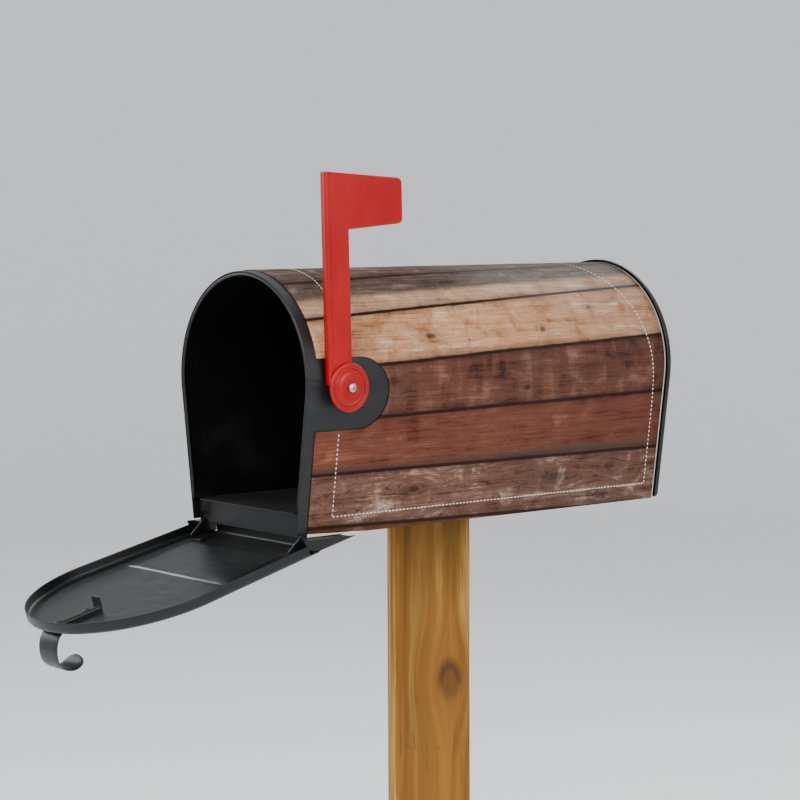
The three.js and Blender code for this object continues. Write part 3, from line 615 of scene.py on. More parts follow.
def makeBoardPrint(name):
    # printed magnetic vinyl that shows a wall of old boards: dull satin and flat under the hand,
    # each board with its own tone, streaks, knots and stains, and dark joints between them
    material, tree = newMaterial(name)
    sheet = addNode(tree, "UVMap", uv_map="sheet")
    place = addNode(tree, "SeparateXYZ", {0: sheet})
    length, around = place.outputs[0], place.outputs[1]
    index, tones, gap, shade = boardJoints(tree, sheet, length, around)
    core, halo, flowing = boardKnots(tree, sheet, around)
    # every board starts at another place in the patterns
    along = addNode(tree, "Math", {0: index, 1: 0.83, 2: length}, operation="MULTIPLY_ADD")
    across = addNode(tree, "Math", {0: index, 1: 0.31, 2: flowing}, operation="MULTIPLY_ADD")
    laid = layPatterns(tree, addNode(tree, "CombineXYZ", {0: along, 1: across}), cover["patterns"])
    marks = addNode(tree, "SeparateColor", {0: tones[3]})
    saw, stained, cracked = marks.outputs[0], marks.outputs[1], marks.outputs[2]
    mixed = mixPatterns(tree, laid, cover["shares"])
    # saw marks run across the board
    smear = addNode(tree, "Math", {0: laid["smear"], 1: 0.3, 2: -0.15}, operation="MULTIPLY_ADD")
    mixed = addNode(tree, "Math", {0: smear, 1: saw, 2: mixed}, operation="MULTIPLY_ADD")
    middle = addNode(tree, "MapRange", {0: mixed, 1: 0.4, 2: 0.49}, **smooth)
    light = addNode(tree, "MapRange", {0: mixed, 1: 0.5, 2: 0.6}, **smooth)
    weathered, lowEdge, wedge, rear = boardEdges(tree, laid, length, around)
    dark, *paler = cover["weathered"]["tones"]
    oldWood = paintOver(tree, dark, zip((middle, light), paler))
    # each mark: its pattern, where its mask starts and is full, what limits it, its share
    grey, rust, nail, worn = [
        addNode(tree, "Math", {1: share, 0: addNode(
            tree, "MapRange", {0: laid[pattern], 1: low, 2: high, 4: limit}, **smooth)}, operation="MULTIPLY")
        for pattern, low, high, limit, share in (
            ("cloud", 0.5, 0.66, stained, 0.4), ("rust", 0.5, 0.68, stained, 0.75),
            ("speck", 0.67, 0.76, stained, 1), ("blotch", 0.56, 0.7, cracked, 0.7))]
    # cracks follow the grain where the board has dried out
    crack = addNode(tree, "Math", {0: laid["crack"], 1: 0.5}, operation="SUBTRACT")
    crack = addNode(tree, "Math", {0: crack}, operation="ABSOLUTE")
    crack = addNode(tree, "MapRange", {0: crack, 1: 0, 2: 0.016, 3: cracked, 4: 0})
    crack = addNode(tree, "MapRange", {0: laid["cloud"], 1: 0.4, 2: 0.55, 3: 0, 4: crack}, **smooth)
    halo = addNode(tree, "Math", {0: halo, 1: 0.2}, operation="MULTIPLY")
    shade = addNode(tree, "Math", {0: shade, 1: 0.45}, operation="MULTIPLY")
    tone, white = cover["tones"], cover["margin"]["tone"]
    colour = paintOver(tree, tones[0], [
        (middle, tones[1]), (light, tones[2]), (grey, tone["grey"]), (rust, tone["rust"]),
        (nail, tone["nail"]), (weathered, oldWood), (lowEdge, cover["lowEdge"]["tone"]),
        (worn, tone["worn"]), (crack, tone["crack"]), (halo, tone["halo"]), (core, tone["knot"]),
        (shade, tone["shade"]), (gap, tone["gap"]), (wedge, white), (rear, white)])
    dull = addNode(tree, "MapRange", {0: mixed, 1: 0.35, 2: 0.65, 3: 0.72, 4: 0.6})
    relief = addNode(tree, "Math", {0: gap, 1: -1, 2: mixed}, operation="MULTIPLY_ADD")
    bump = addNode(tree, "Bump", {"Strength": 0.2, "Distance": 0.2 * mm, "Height": relief})
    giveSurface(tree, {"Base Color": colour, "Roughness": dull, "Normal": bump, **cover["shader"]})
    return material


boardVinyl = makeBoardPrint("printed_board_vinyl")


def makeCover():
    mesh = frame["nodes"]["cover_wrap"].data.copy()
    mesh.materials.clear()
    work = bmesh.new()
    work.from_mesh(mesh)
    bmesh.ops.remove_doubles(work, verts=work.verts, dist=1e-6)
    sheet = work.loops.layers.uv.new("sheet")
    archZ = cover["archHeight"]
    for face in work.faces:
        normal = face.normal
        centre = face.calc_center_median()
        x, z = centre.x / mm, (centre.z - bottomZ) / mm
        outward = Vector((x, 0, max(z - archZ, 0))).normalized()
        # the print wraps round the cut edges of the front and of the flag's notch; others are bare
        ahead = normal.y < -0.7
        inNotch = x > 90 and (centre.y - frontY) / mm < coverBackY - 3 and centre.z > bottomZ + 0.05
        face.material_index = 0 if normal.dot(outward) > 0.5 or ahead or inNotch else 1
        face.smooth = True
        for loop in face.loops:
            place = loop.vert.co
            along = coverAlong(place.x / mm, (place.z - bottomZ) / mm)
            loop[sheet].uv = ((place.y - frontY), along * mm)
    work.to_mesh(mesh)
    work.free()
    piece = placeMesh("cover_wrap_print", mesh, boardVinyl, 40)
    mesh.materials.append(whiteVinyl)
    standFor(piece, "cover_wrap")


stitches = {
    "dash": 2.5, "period": 4.9, "width": 1.0, "proud": 0.12, "sunk": 0.2, "low": 19,
    # the front line leans back up the sides, the rear line sweeps forwards and rounds over the ridge
    "front": {"y": 43, "lean": 15, "start": 110, "over": 180},
    "back": {"y": 497, "sweep": 62, "start": 100, "rounded": 0.8},
    # the cover's notch, from the flag's bolt: no stitches there
    "notch": {"reach": 66, "below": 7.5, "half": 40},
}


def stitchPath():
    # the line of dashes: up the front, and along the low edge and up the back on both sides
    front, back, low = stitches["front"], stitches["back"], stitches["low"]
    frontLine = []
    backLine = []
    steps = 120
    for i in range(steps + 1):
        along = low + (coverLength - 2 * low) * i / steps
        up = min(along, coverLength - along)
        lean = max(0, min(1, (up - front["start"]) / front["over"]))
        frontLine.append((along, front["y"] + front["lean"] * lean))
        rounded = back["rounded"]
        rise = max(0, up - back["start"]) / (coverLength / 2 - back["start"])
        past = max(0, rise - rounded)
        sweep = min(rise, rounded) ** 2 + 2 * rounded * past - rounded / (1 - rounded) * past ** 2
        backLine.append((along, back["y"] - back["sweep"] * sweep))
    lowRight = [(low, front["y"]), (low, back["y"])]
    lowLeft = [(coverLength - along, y) for along, y in lowRight]
    return [frontLine, backLine, lowRight, lowLeft]


def makeStitches():
    notch, dash = stitches["notch"], stitches["dash"]
    boltY = (flagPin.y - frontY) / mm
    notchZ = (flagPin.z - bottomZ) / mm - notch["below"]
    verts = []
    faces = []
    for path in stitchPath():
        length = 0
        marks = [(0, Vector(path[0]))]
        for a, b in zip(path, path[1:]):
            length += (Vector(b) - Vector(a)).length
            marks.append((length, Vector(b)))
        count = int(length / stitches["period"])
        for n in range(count):
            start = (n + 0.15) * length / count
            row = []
            for distance in (start, start + dash / 2, start + dash):
                k = max(i for i in range(len(marks) - 1) if marks[i][0] <= distance + 1e-9)
                share = (distance - marks[k][0]) / (marks[k + 1][0] - marks[k][0])
                tangent = (marks[k + 1][1] - marks[k][1]).normalized()
                row.append((marks[k][1].lerp(marks[k + 1][1], share), Vector((-tangent.y, tangent.x))))
            along, y = row[1][0]
            inHeight = abs(coverPlace(along, 0).z - notchZ) < notch["half"]
            if along < coverLength / 2 and y < boltY + notch["reach"] and inHeight:
                continue
            base = len(verts)
            for spot, side in row:
                for sign in (-1, 1):
                    at = spot + side * sign * stitches["width"] / 2
                    outer = coverPlace(at.x, at.y)
                    ahead = coverPlace(at.x + 0.5, at.y)
                    grow = Vector((ahead.z - outer.z, 0, outer.x - ahead.x)).normalized()
                    verts.append(inBox(*(outer + grow * stitches["proud"])))
                    verts.append(inBox(*(outer - grow * stitches["sunk"])))
            for b in (base, base + 4):
                faces += [(b, b + 2, b + 6, b + 4), (b + 1, b + 5, b + 7, b + 3),
                          (b, b + 4, b + 5, b + 1), (b + 2, b + 3, b + 7, b + 6)]
            faces += [(base, base + 1, base + 3, base + 2), (base + 8, base + 10, base + 11, base + 9)]
    piece = makePiece("cover_stitches", verts, faces, whiteVinyl, 30)
    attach(piece, "mailbox")


makeCover()
makeStitches()
print("cover made")


doorJoint = joints["door_hinge"]
doorPin = Vector(doorJoint["pos_m"])
doorTurn = math.radians(doorJoint["range_deg"][1])


def onDoor(x, y, z):
    # a place drawn with the door closed, in millimetres, carried to where the open door is
    closed = inBox(x, y, z) - doorPin
    turn = Matrix.Rotation(doorTurn, 3, "X")
    return doorPin + turn @ closed


door = {
    "radius": 113, "archHeight": 155, "taper": 3.2, "grow": 3.0, "bottom": -3.0, "corner": 7,
    "face": -2.0, "lip": 10.0, "bend": 4.5, "sheet": 1.2, "edge": 0.35,
    # the hinge-side flange is missing outside this half width and below this height
    "flangeHalf": 83.4, "flangeCut": 5,
    # the mesh: outlines this far in, then rings that shrink to a point at the height of the middle
    "insets": [6, 8, 10, 11.5, 13, 14.5, 16, 18, 21, 25, 30, 36, 43], "rings": 44, "middle": 132,
    "panel": {"half": 83, "low": 28, "high": 109, "rise": 1.9, "slope": 2.2},
    "border": {"inset": 13, "width": 5, "rise": 0.5, "start": (12, 30),
               "clip": {"half": 18, "low": 150, "fade": 20}},
    "ripple": {"rise": 0.75, "edge": (10, 26), "clip": {"half": 20, "low": 170, "fade": 18},
               "coarse": (26, 11), "lean": 60, "fine": (13, 7), "strong": (100, 130), "least": 0.4},
    "crease": {"z": 109, "start": -85, "end": 80, "half": 1.5, "rise": 0.6},
}


def archLoop(shape, grow, bottom, corner, counts=(14, 6, 12, 56)):
    # a closed arch outline with rounded lower corners, always with the same number of points
    nBottom, nCorner, nWall, nArch = counts
    taper = math.radians(shape["taper"])
    radius = shape["radius"] + grow
    archZ = shape["archHeight"]
    tangent = Vector((radius * math.cos(taper), archZ - radius * math.sin(taper)))

    def wall(z):
        return tangent.x - (tangent.y - z) * math.tan(taper)

    centre = Vector((wall(bottom + corner) - corner / math.cos(taper), bottom + corner))
    right = [Vector((centre.x * i / nBottom, bottom)) for i in range(nBottom)]
    for i in range(nCorner + 1):
        angle = -math.pi / 2 + (math.pi / 2 - taper) * i / nCorner
        right.append(centre + corner * Vector((math.cos(angle), math.sin(angle))))
    foot = right[-1]
    right += [foot.lerp(tangent, i / nWall) for i in range(1, nWall)]
    for i in range(nArch // 2 + 1):
        angle = -taper + (math.pi / 2 + taper) * i / (nArch // 2)
        right.append(Vector((radius * math.cos(angle), archZ + radius * math.sin(angle))))
    left = [Vector((-p.x, p.y)) for p in reversed(right[1:-1])]
    return right + left


def smoothStep(value, low, high):
    t = max(0, min(1, (value - low) / (high - low)))
    return t * t * (3 - 2 * t)


def offClip(x, z, clip):
    # 0 under the latch clip, growing to 1 clear of it
    return smoothStep(max(abs(x) - clip["half"], clip["low"] - z), 0, clip["fade"])


def doorRelief(x, z, inset):
    # how far the pressed steel stands inwards of its flat face
    panel, border, ripple = door["panel"], door["border"], door["ripple"]
    inside = min(panel["half"] - abs(x), z - panel["low"], panel["high"] - z)
    rise = panel["rise"] * smoothStep(inside, 0, panel["slope"])
    bead = smoothStep(1 - abs(inset - border["inset"]) / border["width"], 0, 1)
    rise += border["rise"] * bead * offClip(x, z, border["clip"]) * smoothStep(z, *border["start"])
    # the wide flat face has rippled a little in the press, most between the crease and the clip
    wide, high = ripple["coarse"]
    wave = noise.noise(Vector((x / wide + z / ripple["lean"], z / high, 3.1)))
    wide, high = ripple["fine"]
    wave += 0.5 * noise.noise(Vector((x / wide, z / high, 7.7)))
    wave *= ripple["least"] + (1 - ripple["least"]) * smoothStep(z, *ripple["strong"])
    calm = smoothStep(inset, *ripple["edge"]) * offClip(x, z, ripple["clip"])
    return rise + ripple["rise"] * wave * calm + door["crease"]["rise"] * creased(x, z)


def creased(x, z):
    # 1 along the crease that crosses the panel, fading out towards its far end
    crease = door["crease"]
    across = max(0, 1 - abs(z - crease["z"]) / crease["half"])
    along = smoothStep(x, crease["start"] - 6, crease["start"]) * (1 - smoothStep(x, -10, crease["end"] + 10))
    return across * along


def hingeCorner(corners, spots):
    # the hinge-side flange is cut away at the corners, where the hinge arms stand
    first = spots[corners[0]]
    wide = max(abs(spots[i][0]) for i in corners[:2]) > door["flangeHalf"]
    return first[3] < 0.2 and first[2] < door["flangeCut"] and wide


def makeDoorPanel():
    grow, face, lip, bend = door["grow"], door["face"], door["lip"], door["bend"]
    middle, rings, crease = door["middle"], door["rings"], door["crease"]
    profile = [(0.0, lip), (0.0, lip - 2), (0.0, (face + bend + lip) / 2)]
    for i in range(7):
        angle = math.pi / 2 * i / 6
        profile.append((bend * (1 - math.cos(angle)), face + bend * (1 - math.sin(angle))))
    # every spot is x, y, z and how far in from the outline it lies
    rows = []
    for inset, y in profile + [(i, face) for i in door["insets"]]:
        corner = max(door["corner"] - inset, 0.8)
        loop = archLoop(door, grow - inset, door["bottom"] + inset, corner)
        rows.append([(p.x, y, p.y, inset) for p in loop])
    last = rows[-1]
    for step in range(1, rings):
        share = step / rings
        rows.append([(x * (1 - share), face, z + (middle - z) * share, 60) for x, _, z, _ in last])
    count = len(last)
    start = (len(rows) - 1) * count
    spots = [spot for row in rows for spot in row] + [(0, face, middle, 60)]
    faces = loftRows(rows)[1]
    faces += [(start + i, start + (i + 1) % count, len(spots) - 1) for i in range(count)]
    mesh = bpy.data.meshes.new("door_panel_pressed")
    mesh.from_pydata([spot[:3] for spot in spots], [], [f for f in faces if not hingeCorner(f, spots)])
    work = bmesh.new()
    work.from_mesh(mesh)
    inwards = work.verts.layers.float.new("inset")
    creaseHighlight = work.verts.layers.float.new("creaseHighlight")
    for vert, spot in zip(work.verts, spots):
        vert[inwards] = spot[3]
    bmesh.ops.delete(work, geom=[v for v in work.verts if not v.link_faces], context="VERTS")
    # cuts along the crease give it enough points
    for step in range(-2, 3):
        geom = work.verts[:] + work.edges[:] + work.faces[:]
        cutZ = crease["z"] + step * crease["half"] / 2
        bmesh.ops.bisect_plane(work, geom=geom, plane_co=(0, 0, cutZ), plane_no=(0, 0, 1))
    bmesh.ops.remove_doubles(work, verts=work.verts, dist=0.12)
    for vert in work.verts:
        x, y, z = vert.co
        if vert[inwards] > bend:
            # painted highlight: the attribute marks a pale line along the crease, where light would glint
            vert[creaseHighlight] = min(1, 1.3 * creased(x, z))
            y += doorRelief(x, z, vert[inwards])
        vert.co = onDoor(x, y, z)
    bmesh.ops.recalc_face_normals(work, faces=work.faces)
    centre = onDoor(0, face, middle)
    nearest = min(work.faces, key=lambda f: (f.calc_center_median() - centre).length)
    if nearest.normal.dot(onDoor(0, face - 100, middle) - centre) < 0:
        bmesh.ops.reverse_faces(work, faces=work.faces)
    work.to_mesh(mesh)
    work.free()
    piece = placeMesh("door_panel_pressed", mesh, coat, 50)
    mesh.materials.append(coatCreaseHighlight)
    thicken(piece, door["sheet"]).material_offset = 1
    easeEdges(piece, door["edge"], 50)
    standFor(piece, "door_panel")


handle = {"width": 34, "thickness": 1.6, "curl": 16.7, "out": 25, "curlHeight": 255, "foot": 200,
          "sweep": 240, "face": -3.1, "tipRound": 13, "footRound": 5, "across": 9, "edgeShare": 0.35}


def handleLine():
    # the strip from the side: flat on the door, out in a quarter round, then scrolled under itself
    face, foot, curl, out = handle["face"], handle["foot"], handle["curl"], handle["out"]
    high = handle["curlHeight"]
    centre = Vector((face - out, high))
    line = [Vector((face, foot + (high - foot) * i / 12)) for i in range(12)]
    for i in range(25):
        angle = math.pi / 2 * i / 24
        line.append(centre + Vector((out * math.cos(angle), curl * math.sin(angle))))
    stop = math.radians(handle["sweep"])
    for i in range(1, 41):
        angle = math.pi / 2 + (stop - math.pi / 2) * i / 40
        line.append(centre + curl * Vector((math.cos(angle), math.sin(angle))))
    return line


def makeHandle():
    line = handleLine()
    across, tip, corner = handle["across"], handle["tipRound"], handle["footRound"]
    lengths = [0]
    for a, b in zip(line, line[1:]):
        lengths.append(lengths[-1] + (b - a).length)
    rows = []
    for k, point in enumerate(line):
        ahead = line[min(k + 1, len(line) - 1)] - line[max(k - 1, 0)]
        normal = Vector((-ahead.y, ahead.x)).normalized()
        half = handle["width"] / 2
        fromFoot = lengths[k]
        fromTip = lengths[-1] - fromFoot
        if fromTip < tip:
            t = 1 - fromTip / tip
            half *= max(math.sqrt(max(1 - t * t, 0)) * 0.65 + 0.35 * (1 - t ** 6), 0.12)
        if fromFoot < corner:
            half -= corner - math.sqrt(max(corner ** 2 - (corner - fromFoot) ** 2, 0))
        row = []
        for side, order in ((-1, range(across)), (1, range(across - 1, -1, -1))):
            for j in order:
                u = -1 + 2 * j / (across - 1)
                thin = handle["thickness"] / 2 * (handle["edgeShare"] if abs(u) == 1 else 1)
                spot = point + normal * side * thin
                row.append(onDoor(u * half, spot.x, spot.y))
        rows.append(row)
    verts, faces = loftRows(rows)
    count = len(rows[0])
    faces.append(tuple(range(count)))
    faces.append(tuple((len(rows) - 1) * count + i for i in reversed(range(count))))
    piece = makePiece("door_handle_scroll", verts, faces, coat, 45)
    standFor(piece, "door_handle")


makeDoorPanel()
makeHandle()
softened("latch_clip", 0.5, coat)
for side in ("right", "left"):
    softened("door_arm_" + side, 0.4, coat)
for n in (1, 2):
    softened("door_rivet_%d" % n, 0.3, coat)
print("door made")


cap = {
    "radius": 113, "archHeight": 155, "taper": 7.9, "grow": 4.0, "bottom": -1.5, "corner": 5,
    "front": 514.7, "face": 521.2, "bend": 2.6, "sheet": 1.2,
    "rim": 9, "dishStart": 11, "dishSlope": 7, "dishDepth": 4.0, "insets": (22, 30, 40),
    "rings": 20, "middle": 140, "belly": {"rise": 0.35, "size": (60, 70)},
}


def makeRearCap():
    # a pressed end: a rounded flange over the box, a flat rim and a dished middle
    face, front, bend, middle = cap["face"], cap["front"], cap["bend"], cap["middle"]
    dish, belly = face - cap["dishDepth"], cap["belly"]
    profile = [(0, front), (0, front + 1.5), (0, face - bend)]
    for i in range(1, 7):
        angle = math.pi / 2 * i / 6
        profile.append((bend * (1 - math.cos(angle)), face - bend * (1 - math.sin(angle))))
    profile += [(6, face), (cap["rim"], face)]
    for i in range(9):
        profile.append((cap["dishStart"] + cap["dishSlope"] * i / 8,
                        face - cap["dishDepth"] * smoothStep(i / 8, 0, 1)))
    rows = []
    for inset, y in profile + [(i, dish) for i in cap["insets"]]:
        corner = max(cap["corner"] - inset * 0.2, 2.5)
        loop = archLoop(cap, cap["grow"] - inset, cap["bottom"] + inset, corner)
        rows.append([(p.x, y, p.y) for p in loop])
    last = rows[-1]
    for step in range(1, cap["rings"]):
        share = step / cap["rings"]
        rows.append([(x * (1 - share), y, z + (middle - z) * share) for x, y, z in last])
    placed = []
    for row in rows:
        line = []
        for x, y, z in row:
            bulge = noise.noise(Vector((x / belly["size"][0], z / belly["size"][1], 1.3)))
            bulge *= belly["rise"] * smoothStep(face - y, 3, 4)
            line.append(inBox(x, y + bulge, z))
        placed.append(line)
    verts, faces = loftRows(placed)
    count = len(last)
    verts.append(inBox(0, dish, middle))
    start = (len(rows) - 1) * count
    faces += [(start + i, start + (i + 1) % count, len(verts) - 1) for i in range(count)]
    piece = makePiece("rear_cap_pressed", verts, faces, coat, 50)
    work = bmesh.new()
    work.from_mesh(piece.data)
    centre = inBox(0, dish, middle)
    nearest = min(work.faces, key=lambda f: (f.calc_center_median() - centre).length)
    if nearest.normal.y < 0:
        bmesh.ops.reverse_faces(work, faces=work.faces)
    work.to_mesh(piece.data)
    work.free()
    thicken(piece, cap["sheet"])
    standFor(piece, "rear_cap")


rim = {"radius": 113, "archHeight": 155, "taper": 7.9, "bottom": 22.3, "bead": 1.75, "outer": -1.5,
       "depth": 12, "sheet": 1.2}


def makeFrontRim():
    # the folded hem inside the mouth, with a rolled bead at its front edge
    bead, outer, sheet = rim["bead"], rim["outer"], rim["sheet"]
    centre = (outer - bead, bead)
    profile = [(outer, rim["depth"]), (outer, bead)]
    for i in range(1, 17):
        angle = math.pi * 1.5 * i / 16
        profile.append((centre[0] + bead * math.cos(angle), centre[1] - bead * math.sin(angle)))
    profile += [(outer - sheet, 2 * bead + 0.4), (outer - sheet, rim["depth"])]
    rows = []
    for grow, y in profile:
        loop = archLoop(rim, grow, rim["bottom"], 0.01, (1, 1, 14, 72))
        rows.append([inBox(p.x, y, p.y) for p in loop[2:-1]])
    verts, faces = loftRows(rows + [rows[0]], closedRow=False)
    piece = makePiece("front_rim_hem", verts, faces, coat, 50)
    closeSeams(piece)
    standFor(piece, "front_rim")


makeRearCap()
softened("body_shell", 0.45, coat, angle=40)
makeFrontRim()
softened("floor_pan", 0.4, coatInside, angle=40)
softened("front_sill", 0.5, coat)
for side in ("right", "left"):
    softened("hinge_bracket_" + side, 0.4, coat)
    softened("hinge_pin_" + side, 0.3, coat)
print("box made")


flagLean = math.radians(joints["flag_pivot"]["range_deg"][1] - 90)
flag = {
    "front": -23.5, "armWidth": 29.5, "bottom": 3, "top": 218.5, "bladeLength": 100, "bladeHeight": 59,
    "topFall": 8, "bottomRise": 4.5, "corner": 6, "toe": 2, "wall": 1.8, "depth": 8, "round": 2.0,
    # the hoist edge is rolled: where its groove lies, its width and depth, its lowest point, and
    # the lines that give it enough points
    "roll": {"place": 6.6, "width": 1.2, "depth": 0.8, "low": 20,
             "lines": (3.2, 4.6, 5.6, 6.6, 7.6, 8.8, 10.4)},
}
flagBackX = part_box("flag_arm")[0][0] / mm


def onFlag(x, y, z):
    # a place drawn with the flag upright about its pivot, in millimetres
    turn = Matrix.Rotation(flagLean, 3, "X")
    return Vector((x * mm, flagPin.y, flagPin.z)) + turn @ Vector((0, y * mm, z * mm))


def flagOutline(inset):
    f = flag
    front, rear = f["front"] + inset, f["front"] + f["armWidth"] - inset
    end, top = f["front"] + f["bladeLength"] - inset, f["top"] - inset
    under = f["top"] - f["bladeHeight"] + inset
    toe, corner = max(f["toe"] - inset, 0.2), max(f["corner"] - inset, 0.5)
    corners = [(front, f["bottom"] + inset, toe), (rear, f["bottom"] + inset, toe), (rear, under, 0.01),
               (end, under + f["bottomRise"], corner), (end, top - f["topFall"], corner), (front, top, toe)]
    points = []
    for i, (y, z, radius) in enumerate(corners):
        spot = Vector((y, z))
        before = (Vector(corners[i - 1][:2]) - spot).normalized() * radius
        after = (Vector(corners[(i + 1) % len(corners)][:2]) - spot).normalized() * radius
        for step in range(9):
            t = step / 8
            points.append((1 - t) ** 2 * (spot + before) + 2 * t * (1 - t) * spot + t * t * (spot + after))
    return points


def makeFlagArm():
    back, face = flagBackX, flagBackX + flag["depth"]
    front, roll = flag["front"], flag["roll"]
    rows = [(0.0, back), (0.0, face - flag["round"])]
    for i in range(1, 7):
        angle = math.pi / 2 * i / 6
        rows.append((flag["round"] * (1 - math.cos(angle)), face - flag["round"] * (1 - math.sin(angle))))
    loops = [[(x, p.x, p.y) for p in flagOutline(inset)] for inset, x in rows]
    count = len(loops[0])
    verts, faces = loftRows(loops)
    faces.append(tuple((len(loops) - 1) * count + i for i in range(count)))
    mesh = bpy.data.meshes.new("flag_arm_moulded")
    mesh.from_pydata(verts, [], faces)
    work = bmesh.new()
    work.from_mesh(mesh)
    for offset in roll["lines"]:
        geom = work.verts[:] + work.edges[:] + work.faces[:]
        bmesh.ops.bisect_plane(work, geom=geom, plane_co=(0, front + offset, 0), plane_no=(0, 1, 0))
    for vert in work.verts:
        if vert.co.x > face - 0.01 and vert.co.z > roll["low"]:
            away = (vert.co.y - front - roll["place"]) / roll["width"]
            vert.co.x -= roll["depth"] * math.exp(-away ** 2)
    bmesh.ops.recalc_face_normals(work, faces=work.faces)
    largest = max(work.faces, key=lambda f: f.calc_area())
    if largest.normal.x < 0:
        bmesh.ops.reverse_faces(work, faces=work.faces)
    for vert in work.verts:
        vert.co = onFlag(*vert.co)
    work.to_mesh(mesh)
    work.free()
    piece = placeMesh("flag_arm_moulded", mesh, red, 25)
    thicken(piece, flag["wall"])
    standFor(piece, "flag_arm")


hub = {
    "radius": 25, "bore": 3.4, "gap": 0.3, "steps": 80,
    # a flat rim, a groove and a raised dome with a dished middle: distance in from the rim, height
    "profile": [(0.6, 0), (0.15, 0.25), (0, 0.8), (0, 1.2), (0.3, 1.9), (1.0, 2.5), (1.8, 2.7), (4.2, 2.75),
                (5.0, 2.5), (5.5, 2.0), (6.1, 2.0), (6.6, 2.4), (7.3, 3.3), (8.4, 4.2), (9.8, 4.8),
                (12, 5.1), (14, 5.2), (15.5, 5.1), (17, 4.8), (18.4, 4.7)],
}


def makeHub():
    bore = hub["bore"]
    profile = [(hub["radius"] - inwards, height) for inwards, height in hub["profile"]]
    verts, faces = turnedRing([(bore, 0)] + profile + [(bore, profile[-1][1]), (bore, 0)], hub["steps"])
    turn = Matrix.Rotation(math.pi / 2, 3, "Y")
    foot = Vector(((flagBackX + flag["depth"] + hub["gap"]) * mm, flagPin.y, flagPin.z))
    piece = makePiece("flag_hub_moulded", [foot + turn @ (v * mm) for v in verts], faces, red, 40)
    closeSeams(piece)
    standFor(piece, "flag_hub")


def recessBar(depth, reach, width, turn):
    # one bar of the cross that a driver's recess removes, pointing down -Z from the origin
    verts = []
    for z, along, across in ((1.0, 1.25, 1.25), (-depth, 0.55, 0.8)):
        for x, y in ((-reach, -width), (reach, -width), (reach, width), (-reach, width)):
            verts.append(Matrix.Rotation(turn, 3, "Z") @ Vector((x * along, y * across, z)))
    faces = [(3, 2, 1, 0), (4, 5, 6, 7)]
    faces += [(i, (i + 1) % 4, 4 + (i + 1) % 4, 4 + i) for i in range(4)]
    return verts, faces


def panHead(screw, depth):
    # a pan head over a shank that ends at -depth
    radius, shank, height = screw["radius"], screw["shank"], screw["head"]
    rim = 0.35 * height
    rows = [(0.001, -depth), (shank, -depth), (shank, 0), (radius, 0), (radius, rim)]
    for i in range(1, 9):
        angle = math.pi / 2 * i / 8
        rows.append((max(radius * math.cos(angle) ** 0.8, 0.001), rim + (height - rim) * math.sin(angle)))
    return rows


def makeScrew(name, node, screw, depth, place):
    # a turned screw with a pan head and a cross recess, its axis given by place
    verts, faces = turnedRing(panHead(screw, depth), 40)
    piece = makePiece(name, [place(v) for v in verts], faces, zinc, 35)
    tools = []
    for turn in (0, math.pi / 2):
        verts, faces = recessBar(*screw["recess"], turn)
        lifted = [place(v + Vector((0, 0, screw["head"]))) for v in verts]
        tools.append(makePiece("recess_tool", lifted, faces, zinc))
        cut = piece.modifiers.new("recess", "BOOLEAN")
        cut.operation = "DIFFERENCE"
        cut.object = tools[-1]
        cut.solver = "EXACT"
    bpy.context.view_layer.update()
    graph = bpy.context.evaluated_depsgraph_get()
    mesh = bpy.data.meshes.new_from_object(piece.evaluated_get(graph))
    piece.modifiers.clear()
    piece.data = mesh
    mesh.shade_smooth()
    mesh.set_sharp_from_angle(angle=math.radians(35))
    for tool in tools:
        bpy.data.objects.remove(tool)
    standFor(piece, node)


flagBolt = {"radius": 4.7, "head": 2.8, "shank": 3, "turn": 20, "recess": (1.6, 2.6, 0.55)}
floorScrew = {"radius": 4.6, "head": 2.6, "shank": 2, "recess": (1.5, 2.5, 0.5)}


def makeFlagBolt():
    low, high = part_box("flag_bolt")
    start = high[0] - flagBolt["head"] * mm
    turn = Matrix.Rotation(math.pi / 2, 3, "Y") @ Matrix.Rotation(math.radians(flagBolt["turn"]), 3, "Z")
    makeScrew("flag_bolt_pan_head", "flag_bolt", flagBolt, (start - low[0]) / mm,
              lambda v: Vector((start, flagPin.y, flagPin.z)) + turn @ (v * mm))


def makeFloorScrew(n):
    low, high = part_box("floor_screw_%d" % n)
    spot = Vector(((low[0] + high[0]) / 2, (low[1] + high[1]) / 2, high[2] - floorScrew["head"] * mm))
    makeScrew("floor_screw_head_%d" % n, "floor_screw_%d" % n, floorScrew, (spot.z - low[2]) / mm,
              lambda v: spot + v * mm)


makeFlagArm()
makeHub()
makeFlagBolt()
softened("flag_nut", 0.4, zinc)
softened("flag_spring_washer", 0.25, zinc)
softened("flag_bush", 0.2, naturalNylon)
for n in (1, 2, 3, 4):
    makeFloorScrew(n)
    softened("post_screw_%d" % n, 0.2, zinc)
print("flag and fasteners made")


